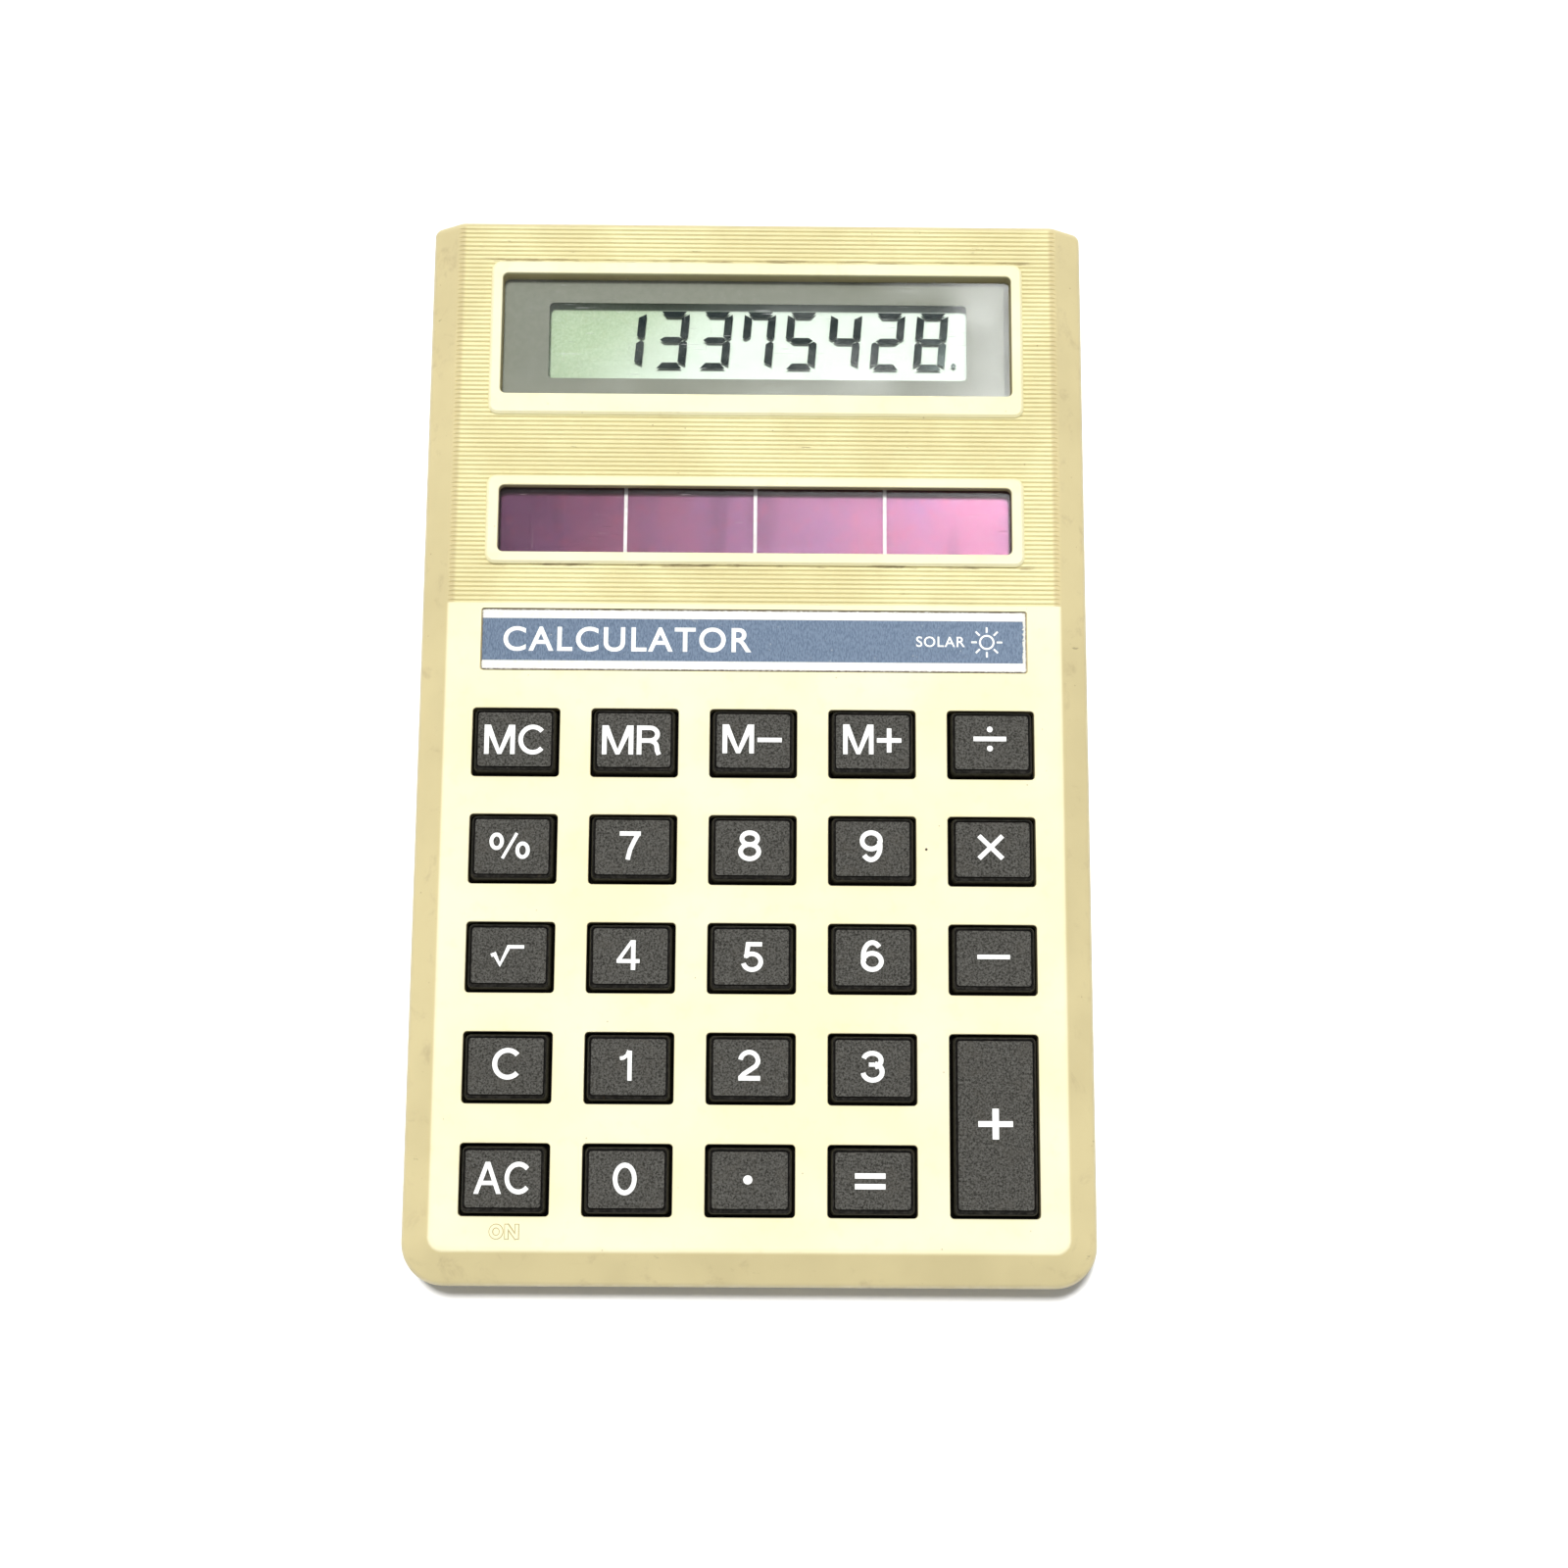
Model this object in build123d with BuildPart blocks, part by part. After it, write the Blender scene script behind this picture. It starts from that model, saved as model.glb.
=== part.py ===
from build123d import *
import math
import os

# Pocket calculator, solar powered.
# Origin: centre of the rear face. +X right, +Y towards the display, +Z out of the keys.

# ---------------------------------------------------------------- case, overall
CASE_WIDTH = 71.2
CASE_LENGTH = 114.5
PARTING_Z = 2.4          # height of the joint between the two shells
BEVEL_Z = 5.9            # height where the side walls turn into the bevel
PANEL_Z = 8.0            # height of the keypad panel
PANEL_THICKNESS = 1.5
UNDERSIDE_Z = PANEL_Z - PANEL_THICKNESS
BEVEL_SIDE = 3.1         # width of the bevel along the long sides
BEVEL_FRONT = 3.6        # width of the bevel at the user's end
FRONT_CORNER = 4.4       # plan radius of the two corners at the user's end
PANEL_CORNER = 1.4       # plan radius of the flat panel inside the bevel
WALL = 1.5
INNER_SIDE = 3.4         # inset of the hollow's ceiling from the sides
INNER_FRONT = 4.0
KNEE_Z = 5.2             # height where the inner wall starts to follow the bevel
BACK_END_Y = CASE_LENGTH / 2
PANEL_HALF_WIDTH = CASE_WIDTH / 2 - BEVEL_SIDE
BEVEL_EDGE_RADIUS = 1.0
PANEL_EDGE_RADIUS = 1.4
EDGE_BAND = 0.1
BACK_END_BAND = 1.0      # edges nearer than this to the display end belong to that end
SLIVER = 0.02            # tolerance for picking edges and faces by position

# ---------------------------------------------------------------- ribbed zone
RIB_START_Y = 14.03
RIB_PITCH = 0.5
RIB_GROOVE = 0.32
RIB_DEPTH = 0.14
RIB_COUNT = 86

# ---------------------------------------------------------------- display
DISPLAY_FRAME = (57.9, 17.55)
DISPLAY_FRAME_Y = 43.78
FRAME_RISE = 0.4
FRAME_TOP_Z = PANEL_Z + FRAME_RISE
FRAME_ROOT = 0.4         # how deep the frames reach into the ribbed surface
FRAME_CORNER = 1.1
FRAME_CHAMFER = 0.3
FRAME_INNER_RADIUS = 0.15
LENS = (55.3, 13.65)
LENS_GAP = 0.05
LENS_Y = 44.23
LENS_TOP_Z = 7.3
LENS_THICKNESS = 0.8
LENS_CHAMFER = 0.1
OPENING_CORNER = 0.6
MASK_THICKNESS = 0.06
MASK_BOTTOM_Z = LENS_TOP_Z - LENS_THICKNESS - MASK_THICKNESS
MASK_CORNER = 0.5
MASK_WINDOW = (45.65, 8.68)
MASK_WINDOW_AT = (0.12, 44.09)
LEDGE_WINDOW = (48.8, 11.0)
LEDGE_BLOCK = (58.0, 17.4)
LEDGE_Z = 6.05
CRADLE = (54.6, 18.1)
CRADLE_Y = 43.5
CRADLE_DEPTH = 1.85

GLASS_THICKNESS = 0.5
POLARISER_THICKNESS = 0.2
REFLECTOR_THICKNESS = 0.25
FRONT_GLASS = (51.2, 15.8)
FRONT_GLASS_Y = 43.5
REAR_GLASS = (51.2, 13.4)
REAR_GLASS_Y = 44.7
FRONT_POLARISER = (48.4, 10.6)   # fits inside the hole in the ledge
REFLECTOR = (50.2, 12.8)
GLASS_PLAY = 0.15
FRONT_GLASS_Z = LEDGE_Z - GLASS_THICKNESS
REAR_GLASS_Z = FRONT_GLASS_Z - GLASS_THICKNESS
REFLECTOR_Z = REAR_GLASS_Z - REFLECTOR_THICKNESS
STRIP = (47.0, 1.7)
STRIP_Y = 36.65

# ---------------------------------------------------------------- solar panel
SOLAR_FRAME = (57.7, 9.9)
SOLAR_FRAME_Y = 23.25
SOLAR_OPENING = (55.0, 7.4)
SOLAR_Y = 23.3
SOLAR_TOP_Z = 7.4
SOLAR_GLASS = (57.4, 9.2)
SOLAR_GLASS_THICKNESS = 1.05
SOLAR_GAP = 0.1
CELL_COUNT = 4
CELL_PITCH = 13.97
CELL_LENGTH = 8.4
CELL_GAP = 0.38
CELL_FILM = 0.05
BACKING_THICKNESS = 0.1
SOLAR_GLASS_Z = SOLAR_TOP_Z - SOLAR_GLASS_THICKNESS
CELL_Z = SOLAR_GLASS_Z - CELL_FILM
BACKING_Z = CELL_Z - BACKING_THICKNESS

# ---------------------------------------------------------------- nameplate
NAMEPLATE = (57.8, 6.6)
NAMEPLATE_Y = 10.05
NAMEPLATE_THICKNESS = 0.25
NAMEPLATE_RECESS = 0.3
NAMEPLATE_GAP = 0.1
NAMEPLATE_POCKET = (NAMEPLATE[0] + 2 * NAMEPLATE_GAP, NAMEPLATE[1] + 2 * NAMEPLATE_GAP)
RECESS_CORNER = 0.3

# ---------------------------------------------------------------- keys
COLUMN_PITCH = 12.5
ROW_PITCH = 11.37
COLUMNS = [COLUMN_PITCH * step for step in (-2, -1, 0, 1, 2)]
FIRST_ROW_Y = -1.12
ROWS = [FIRST_ROW_Y - ROW_PITCH * step for step in range(5)]
OPENING_WIDTH = 9.2
OPENING_LENGTH = 7.36
KEY_OPENING_CORNER = 0.4
OPENING_EDGE_RADIUS = 0.12
KEY_GAP = 0.3
KEY_TOP_Z = 9.2
KEY_FACE_DROP = 0.05     # the face lies this far below its rim
FLANGE_MARGIN = 0.4      # how far the flange reaches past the opening
FLANGE_BOTTOM_Z = 5.5
FLANGE_TOP_Z = 6.35
SIDE_SLOPE = 0.19        # how far the head leans in towards its top, on each side
BACK_SLOPE = 0.2
FRONT_SLOPE = 0.1
KEY_CORNER = 0.5
KEY_EDGE_RADIUS = 0.1
FACE_CORNER = 0.3
RIM_SIDE = 0.15          # width of the rim round the face
RIM_BACK = 0.15
RIM_FRONT = 0.33
RIM_GROOVE = 0.13
RIM_GROOVE_DEPTH = 0.12
KEY_WALL = 0.9
KEY_ROOF = 1.0
POST_DIAMETER = 4.4

KEY_GRID = [
    ["key_mc", "key_mr", "key_m_minus", "key_m_plus", "key_divide"],
    ["key_percent", "key_7", "key_8", "key_9", "key_multiply"],
    ["key_sqrt", "key_4", "key_5", "key_6", "key_minus"],
    ["key_c", "key_1", "key_2", "key_3", "key_plus"],
    ["key_ac", "key_0", "key_point", "key_equals", None],
]
TALL_KEY = "key_plus"

# ---------------------------------------------------------------- circuit board
BOARD_TOP_Z = 3.9
BOARD_THICKNESS = 1.0
BOARD_WIDTH = 60.4
BOARD_FRONT_Y = -52.2
BOARD_BACK_Y = 53.6
BOARD_BOTTOM_Z = BOARD_TOP_Z - BOARD_THICKNESS
BOARD_CORNER = 2.0
CHIP_AT = (-8.0, 12.0)
CHIP_SIZE = 9.0
CHIP_THICKNESS = 1.4
CHIP_STANDOFF = 0.1
CHIP_CHAMFER = 0.2
LEADS_PER_SIDE = 13
LEAD_PITCH = 0.6
LEAD_WIDTH = 0.25
LEAD_THICKNESS = 0.15
LEAD_EXIT_Z = 0.75       # where the leads leave the chip, above the board
LEAD_SHOULDER = 0.5
LEAD_FOOT = 1.4
CAPACITOR_AT = (20.5, 11.0)
CAPACITOR_AXIS_Z = 4.25
CAPACITOR_LENGTH = 7.0
CAPACITOR_DIAMETER = 4.0
CAPACITOR_EDGE = 0.4
NOTCH_ROOM = 0.3
CAPACITOR_NOTCH = (CAPACITOR_LENGTH + 2 * NOTCH_ROOM, CAPACITOR_DIAMETER + 2 * NOTCH_ROOM)
CAPACITOR_LEAD_DIAMETER = 0.5
CAPACITOR_LEAD_SPACING = 1.8
CAPACITOR_LEAD_LENGTH = 2.2
CERAMIC_PLACES = [(2.5, 8.5), (2.5, 14.5)]
CERAMIC_SIZE = (2.0, 1.25, 0.9)
RESISTOR_PLACES = [(6.5, 8.0), (6.5, 11.0), (6.5, 14.0)]
RESISTOR_SIZE = (2.0, 1.25, 0.5)
DIODE_AT = (11.5, 15.2)
DIODE_LENGTH = 3.5
DIODE_DIAMETER = 1.4
DIODE_LIFT = 0.05

# ---------------------------------------------------------------- solar wires
WIRE_DIAMETER = 0.8
WIRE_HIGH_Z = 5.7        # along the back of the solar panel
WIRE_LOW_Z = 4.4         # along the board
RED_WIRE_ROUTE = [
    (-25.5, 24.3, WIRE_HIGH_Z),
    (-25.5, 18.5, WIRE_HIGH_Z),
    (-24.5, 12.0, WIRE_LOW_Z),
    (-21.0, 8.0, WIRE_LOW_Z),
]
BLACK_WIRE_ROUTE = [
    (25.5, 24.3, WIRE_HIGH_Z),
    (25.5, 18.5, WIRE_HIGH_Z),
    (26.6, 13.0, WIRE_LOW_Z),
    (27.2, 7.0, WIRE_LOW_Z),
]
BEND_SHARE = 0.45        # part of the shorter run that each bend may use
JOINT_RADIUS = 0.95       # solder under the solar panel
BOARD_JOINT_RADIUS = 0.855
JOINT_TIP_RADIUS = 0.6
JOINT_HEIGHT = 0.75

# ---------------------------------------------------------------- rubber keypad
SHEET_THICKNESS = 0.5
SHEET_WIDTH = 60.0
SHEET_FRONT_Y = -51.6
SHEET_BACK_Y = 4.2
SHEET_CORNER = 2.0
DOME_BASE_RADIUS = 3.6
DOME_TOP_RADIUS = 2.4
DOME_WEB = 0.4
PILL_RADIUS = 1.6
PILL_THICKNESS = 0.3
CAP_THICKNESS = 0.5
DOME_HEIGHT = FLANGE_BOTTOM_Z - BOARD_TOP_Z - SHEET_THICKNESS
HOLLOW_HEIGHT = FLANGE_BOTTOM_Z - CAP_THICKNESS - BOARD_TOP_Z
PAD_RADIUS = 2.0
PAD_THICKNESS = 0.03

# ---------------------------------------------------------------- screws and bosses
BOARD_BOSSES = [
    (-18.75, -6.8),
    (18.75, -6.8),
    (-6.25, -40.92),
    (6.25, -40.92),
    (-28.0, 31.3),
    (28.0, 31.3),
]
BOARD_BOSS_DIAMETER = 3.0
BOARD_SCREW_DIAMETER = 1.5
BOARD_SCREW_HEAD = 2.9
BOARD_SCREW_HEAD_HEIGHT = 0.8
BOARD_SCREW_TIP_Z = 6.0
CASE_BOSSES = [(-32.15, -48.5), (32.15, -48.5), (-32.15, 50.0), (32.15, 50.0)]
CASE_BOSS_DIAMETER = 3.4
CASE_SCREW_DIAMETER = 1.7
CASE_SCREW_HEAD = 3.4
CASE_SCREW_HEAD_HEIGHT = 0.9
CASE_SCREW_TIP_Z = 5.3
SCREW_PLAY = 0.05        # the pilot holes are this much wider than the thread
PILOT_EXTRA = 0.2
BOSS_ROOM = 0.2
CASE_BOSS_TOP_Z = 6.6
SCREW_SLOT = (0.4, 1.9)
SCREW_SLOT_DEPTH = 0.5
SCREW_RIM_SHARE = 0.33   # rounding of the head's rim, as a part of its height

# ---------------------------------------------------------------- rear shell
REAR_INSET = 0.35
REAR_FLOOR = 1.4
REAR_BACK_CORNER = 0.8
REAR_EDGE_RADIUS = 1.2
TONGUE_OUT = WALL + 0.1
TONGUE_IN = 2.5
TONGUE_HEIGHT = 0.9
REAR_POST_DIAMETER = 5.4
SCREW_CLEARANCE = 1.9
HEAD_CLEARANCE = 3.7
HEAD_RECESS = 1.2
RATING_FIELD = (44.0, 20.0)
RATING_Y = 12.0
RATING_CORNER = 1.0
RATING_DEPTH = 0.2

# ---------------------------------------------------------------- moulded ON
ON_X = -24.88
ON_Y = -51.81
ON_LETTER_PITCH = 1.58
ON_LETTER_WIDTH = 1.35
ON_HEIGHT = 1.42
ON_STROKE = 0.3
ON_RISE = 0.12

STANDING = (Align.CENTER, Align.CENTER, Align.MIN)

os.makedirs("parts", exist_ok=True)


def save(part, name):
    """Label a finished piece and write it to its own file."""
    part.label = name
    export_step(part, f"parts/{name}.step")


def case_outline(side, front, back, front_radius, back_radius):
    """Case outline, pulled in from the full rectangle by three insets."""
    with Locations((0, (front - back) / 2)):
        Rectangle(CASE_WIDTH - 2 * side, CASE_LENGTH - front - back)
    fillet(vertices().group_by(Axis.Y)[0], front_radius)
    if back_radius:
        fillet(vertices().group_by(Axis.Y)[-1], back_radius)


def inside(edge, size, centre_y, centre_x=0):
    """Whether an edge lies on or within a rectangle in plan."""
    middle = edge.center()
    across = abs(middle.X - centre_x) < size[0] / 2 + EDGE_BAND
    along = abs(middle.Y - centre_y) < size[1] / 2 + EDGE_BAND
    return across and along


def key_places():
    """Name, centre and opening length of every key."""
    places = []
    for row, names in enumerate(KEY_GRID):
        for column, name in enumerate(names):
            if name is None:
                continue
            if name == TALL_KEY:
                tall_y = ROWS[row] - ROW_PITCH / 2
                places.append((name, COLUMNS[column], tall_y, OPENING_LENGTH + ROW_PITCH))
            else:
                places.append((name, COLUMNS[column], ROWS[row], OPENING_LENGTH))
    return places


KEYS = key_places()

# ================================================================ front shell
with BuildPart() as front_case:
    # Side walls, then the bevel up to the flat panel. The end at the display stays upright.
    with BuildSketch(Plane.XY.offset(PARTING_Z)):
        case_outline(0, 0, 0, FRONT_CORNER, 0)
    extrude(amount=BEVEL_Z - PARTING_Z)
    with BuildSketch(Plane.XY.offset(BEVEL_Z)):
        case_outline(0, 0, 0, FRONT_CORNER, 0)
    with BuildSketch(Plane.XY.offset(PANEL_Z)):
        case_outline(BEVEL_SIDE, BEVEL_FRONT, 0, PANEL_CORNER, 0)
    loft(ruled=True)

    # Rounded edges: panel to bevel, bevel to side wall, and the two upright corners at the back.
    panel_edges = [e for e in front_case.edges() if abs(e.center().Z - PANEL_Z) < SLIVER
                   and e.center().Y < BACK_END_Y - BACK_END_BAND]
    fillet(panel_edges, PANEL_EDGE_RADIUS)
    corner_edges = [e for e in front_case.edges() if e.center().Y > BACK_END_Y - SLIVER
                    and abs(e.center().X) > PANEL_HALF_WIDTH and e.center().Z < PANEL_Z - EDGE_BAND]
    bevel_edges = [e for e in front_case.edges() if abs(e.center().Z - BEVEL_Z) < SLIVER]
    fillet(corner_edges + bevel_edges, BEVEL_EDGE_RADIUS)

    # Fine ribs across the upper half.
    with BuildSketch(Plane.YZ):
        with Locations(*[(RIB_START_Y + RIB_PITCH * (step + 0.5), PANEL_Z) for step in range(RIB_COUNT)]):
            Polygon((-RIB_GROOVE / 2, SLIVER), (0, -RIB_DEPTH), (RIB_GROOVE / 2, SLIVER), align=None)
    extrude(amount=CASE_WIDTH / 2, both=True, mode=Mode.SUBTRACT)

    # Raised frames around the display and the solar panel.
    for size, frame_y in ((DISPLAY_FRAME, DISPLAY_FRAME_Y), (SOLAR_FRAME, SOLAR_FRAME_Y)):
        with BuildSketch(Plane.XY.offset(PANEL_Z - FRAME_ROOT)):
            with Locations((0, frame_y)):
                RectangleRounded(*size, FRAME_CORNER)
        extrude(amount=FRAME_ROOT + FRAME_RISE)
    frame_edges = front_case.edges().filter_by_position(Axis.Z, FRAME_TOP_Z - SLIVER, FRAME_TOP_Z + SLIVER)
    chamfer(frame_edges, FRAME_CHAMFER)

    # Hollow inside, its walls following the bevel.
    with BuildSketch(Plane.XY.offset(PARTING_Z)):
        case_outline(WALL, WALL, WALL, FRONT_CORNER - WALL, 0)
    extrude(amount=KNEE_Z - PARTING_Z, mode=Mode.SUBTRACT)
    with BuildSketch(Plane.XY.offset(KNEE_Z)):
        case_outline(WALL, WALL, WALL, FRONT_CORNER - WALL, 0)
    with BuildSketch(Plane.XY.offset(UNDERSIDE_Z)):
        case_outline(INNER_SIDE, INNER_FRONT, WALL, PANEL_CORNER, 0)
    loft(ruled=True, mode=Mode.SUBTRACT)

    # Ledge between the window and the display glass, and the cradle that locates the glass under it.
    with BuildSketch(Plane.XY.offset(LEDGE_Z)):
        with Locations((0, LENS_Y)):
            Rectangle(*LEDGE_BLOCK)
    extrude(amount=UNDERSIDE_Z - LEDGE_Z)
    with BuildSketch(Plane.XY.offset(LEDGE_Z - CRADLE_DEPTH)):
        with Locations((0, CRADLE_Y)):
            Rectangle(*CRADLE)
            Rectangle(FRONT_GLASS[0] + 2 * GLASS_PLAY, FRONT_GLASS[1] + 2 * GLASS_PLAY, mode=Mode.SUBTRACT)
    extrude(amount=UNDERSIDE_Z - LEDGE_Z + CRADLE_DEPTH)

    # Bosses: six that pass through the rubber sheet to the board, four that meet the rear shell.
    with BuildSketch(Plane.XY.offset(BOARD_TOP_Z)):
        with Locations(*BOARD_BOSSES):
            Circle(BOARD_BOSS_DIAMETER / 2)
    extrude(amount=UNDERSIDE_Z - BOARD_TOP_Z)
    with BuildSketch(Plane.XY.offset(PARTING_Z)):
        with Locations(*CASE_BOSSES):
            Circle(CASE_BOSS_DIAMETER / 2)
    extrude(amount=CASE_BOSS_TOP_Z - PARTING_Z)
    with BuildSketch(Plane.XY.offset(BOARD_TOP_Z)):
        with Locations(*BOARD_BOSSES):
            Circle((BOARD_SCREW_DIAMETER + SCREW_PLAY) / 2)
    extrude(amount=BOARD_SCREW_TIP_Z + PILOT_EXTRA - BOARD_TOP_Z, mode=Mode.SUBTRACT)
    with BuildSketch(Plane.XY.offset(PARTING_Z)):
        with Locations(*CASE_BOSSES):
            Circle((CASE_SCREW_DIAMETER + SCREW_PLAY) / 2)
    extrude(amount=CASE_SCREW_TIP_Z + PILOT_EXTRA - PARTING_Z, mode=Mode.SUBTRACT)

    # Window opening down to the ledge, and the smaller hole in the ledge.
    with BuildSketch(Plane.XY.offset(MASK_BOTTOM_Z)):
        with Locations((0, LENS_Y)):
            RectangleRounded(LENS[0] + 2 * LENS_GAP, LENS[1] + 2 * LENS_GAP, OPENING_CORNER)
    extrude(until=Until.LAST, mode=Mode.SUBTRACT)
    with BuildSketch(Plane.XY.offset(LEDGE_Z)):
        with Locations(MASK_WINDOW_AT):
            Rectangle(*LEDGE_WINDOW)
    extrude(amount=UNDERSIDE_Z - LEDGE_Z, mode=Mode.SUBTRACT)

    # Solar opening, and the pocket behind it that takes the panel.
    with BuildSketch(Plane.XY.offset(SOLAR_TOP_Z)):
        with Locations((0, SOLAR_Y)):
            RectangleRounded(*SOLAR_OPENING, OPENING_CORNER)
    extrude(until=Until.LAST, mode=Mode.SUBTRACT)
    with BuildSketch(Plane.XY.offset(UNDERSIDE_Z)):
        with Locations((0, SOLAR_Y)):
            Rectangle(SOLAR_GLASS[0] + 2 * SOLAR_GAP, SOLAR_GLASS[1] + 2 * SOLAR_GAP)
    extrude(amount=SOLAR_TOP_Z - UNDERSIDE_Z, mode=Mode.SUBTRACT)

    # Soft inner edges of both frames.
    inner_edges = [e for e in front_case.edges() if abs(e.center().Z - FRAME_TOP_Z) < SLIVER
                   and (inside(e, LENS, LENS_Y) or inside(e, SOLAR_OPENING, SOLAR_Y))]
    fillet(inner_edges, FRAME_INNER_RADIUS)

    # Nameplate recess.
    with BuildSketch(Plane.XY.offset(PANEL_Z)):
        with Locations((0, NAMEPLATE_Y)):
            RectangleRounded(*NAMEPLATE_POCKET, RECESS_CORNER)
    extrude(amount=-NAMEPLATE_RECESS, mode=Mode.SUBTRACT)

    # Key openings with a softened upper edge.
    for _, key_x, key_y, opening_length in KEYS:
        with BuildSketch(Plane.XY.offset(UNDERSIDE_Z)):
            with Locations((key_x, key_y)):
                RectangleRounded(OPENING_WIDTH, opening_length, KEY_OPENING_CORNER)
        extrude(amount=PANEL_THICKNESS, mode=Mode.SUBTRACT)
    opening_edges = [e for e in front_case.edges() if abs(e.center().Z - PANEL_Z) < SLIVER
                     and any(inside(e, (OPENING_WIDTH, k[3]), k[2], k[1]) for k in KEYS)]
    fillet(opening_edges, OPENING_EDGE_RADIUS)

    # Raised ON under the AC key: a ring and an upright N.
    with BuildSketch(Plane.XY.offset(PANEL_Z - SLIVER)):
        with Locations((ON_X - ON_LETTER_PITCH / 2, ON_Y)):
            Ellipse(ON_LETTER_WIDTH / 2, ON_HEIGHT / 2)
            Ellipse(ON_LETTER_WIDTH / 2 - ON_STROKE, ON_HEIGHT / 2 - ON_STROKE, mode=Mode.SUBTRACT)
        with Locations((ON_X + ON_LETTER_PITCH / 2, ON_Y)):
            with GridLocations(ON_LETTER_WIDTH - ON_STROKE, 0, 2, 1):
                Rectangle(ON_STROKE, ON_HEIGHT)
            Polygon(
                (-ON_LETTER_WIDTH / 2, ON_HEIGHT / 2),
                (-ON_LETTER_WIDTH / 2 + ON_STROKE, ON_HEIGHT / 2),
                (ON_LETTER_WIDTH / 2, -ON_HEIGHT / 2),
                (ON_LETTER_WIDTH / 2 - ON_STROKE, -ON_HEIGHT / 2),
                align=None,
            )
    extrude(amount=ON_RISE + SLIVER)
save(front_case.part, "front_case")

# ================================================================ rear shell
with BuildPart() as rear_case:
    with BuildSketch():
        case_outline(REAR_INSET, REAR_INSET, REAR_INSET, FRONT_CORNER - REAR_INSET, REAR_BACK_CORNER)
    extrude(amount=PARTING_Z)
    fillet(rear_case.edges().group_by(Axis.Z)[0], REAR_EDGE_RADIUS)
    # Hollow tray with a tongue that fits inside the front shell.
    with BuildSketch(Plane.XY.offset(PARTING_Z)):
        case_outline(TONGUE_OUT, TONGUE_OUT, TONGUE_OUT, FRONT_CORNER - TONGUE_OUT, REAR_BACK_CORNER)
    extrude(amount=TONGUE_HEIGHT)
    with BuildSketch(Plane.XY.offset(REAR_FLOOR)):
        case_outline(TONGUE_IN, TONGUE_IN, TONGUE_IN, FRONT_CORNER - TONGUE_IN, REAR_BACK_CORNER)
    extrude(amount=PARTING_Z + TONGUE_HEIGHT - REAR_FLOOR, mode=Mode.SUBTRACT)
    # Room in the tongue for the front shell's bosses, then the screw posts that meet them.
    with BuildSketch(Plane.XY.offset(PARTING_Z)):
        with Locations(*CASE_BOSSES):
            Circle(CASE_BOSS_DIAMETER / 2 + BOSS_ROOM)
    extrude(amount=TONGUE_HEIGHT, mode=Mode.SUBTRACT)
    with BuildSketch(Plane.XY.offset(REAR_FLOOR)):
        with Locations(*CASE_BOSSES):
            Circle(REAR_POST_DIAMETER / 2)
    extrude(amount=PARTING_Z - REAR_FLOOR)
    # Counterbored screw holes from the rear face.
    with Locations(*[Location((x, y, 0), (180, 0, 0)) for x, y in CASE_BOSSES]):
        CounterBoreHole(SCREW_CLEARANCE / 2, HEAD_CLEARANCE / 2, HEAD_RECESS)
    # Shallow rating field in the rear face.
    with BuildSketch():
        with Locations((0, RATING_Y)):
            RectangleRounded(*RATING_FIELD, RATING_CORNER)
    extrude(amount=RATING_DEPTH, mode=Mode.SUBTRACT)
save(rear_case.part, "rear_case")

# ================================================================ display
with BuildPart() as display_window:
    with BuildSketch(Plane.XY.offset(LENS_TOP_Z - LENS_THICKNESS)):
        with Locations((0, LENS_Y)):
            RectangleRounded(*LENS, OPENING_CORNER)
    extrude(amount=LENS_THICKNESS)
    chamfer(display_window.edges().group_by(Axis.Z)[-1], LENS_CHAMFER)
save(display_window.part, "display_window")

with BuildPart() as window_mask:
    with BuildSketch(Plane.XY.offset(MASK_BOTTOM_Z)):
        with Locations((0, LENS_Y)):
            RectangleRounded(*LENS, OPENING_CORNER)
        with Locations(MASK_WINDOW_AT):
            RectangleRounded(*MASK_WINDOW, MASK_CORNER, mode=Mode.SUBTRACT)
    extrude(amount=MASK_THICKNESS)
save(window_mask.part, "window_mask")


def display_layer(size, centre, bottom_z, thickness):
    """One flat layer of the display cell."""
    with BuildPart() as layer:
        with BuildSketch(Plane.XY.offset(bottom_z)):
            with Locations(centre):
                Rectangle(*size)
        extrude(amount=thickness)
    return layer.part


# From the top: the polariser lies in the hole of the ledge, and the front glass bears on the ledge.
display_front_polariser = display_layer(FRONT_POLARISER, MASK_WINDOW_AT, LEDGE_Z, POLARISER_THICKNESS)
save(display_front_polariser, "display_front_polariser")
display_front_glass = display_layer(FRONT_GLASS, (0, FRONT_GLASS_Y), FRONT_GLASS_Z, GLASS_THICKNESS)
save(display_front_glass, "display_front_glass")
display_rear_glass = display_layer(REAR_GLASS, (0, REAR_GLASS_Y), REAR_GLASS_Z, GLASS_THICKNESS)
save(display_rear_glass, "display_rear_glass")
display_reflector = display_layer(REFLECTOR, (0, REAR_GLASS_Y), REFLECTOR_Z, REFLECTOR_THICKNESS)
save(display_reflector, "display_reflector")

# Rubber connector strip: it stands on the board and presses the front glass against the ledge.
connector_strip = display_layer(STRIP, (0, STRIP_Y), BOARD_TOP_Z, FRONT_GLASS_Z - BOARD_TOP_Z)
save(connector_strip, "connector_strip")

# ================================================================ solar panel
with BuildPart() as solar_glass:
    with BuildSketch(Plane.XY.offset(SOLAR_GLASS_Z)):
        with Locations((0, SOLAR_Y)):
            Rectangle(*SOLAR_GLASS)
    extrude(amount=SOLAR_GLASS_THICKNESS)
save(solar_glass.part, "solar_glass")

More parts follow.
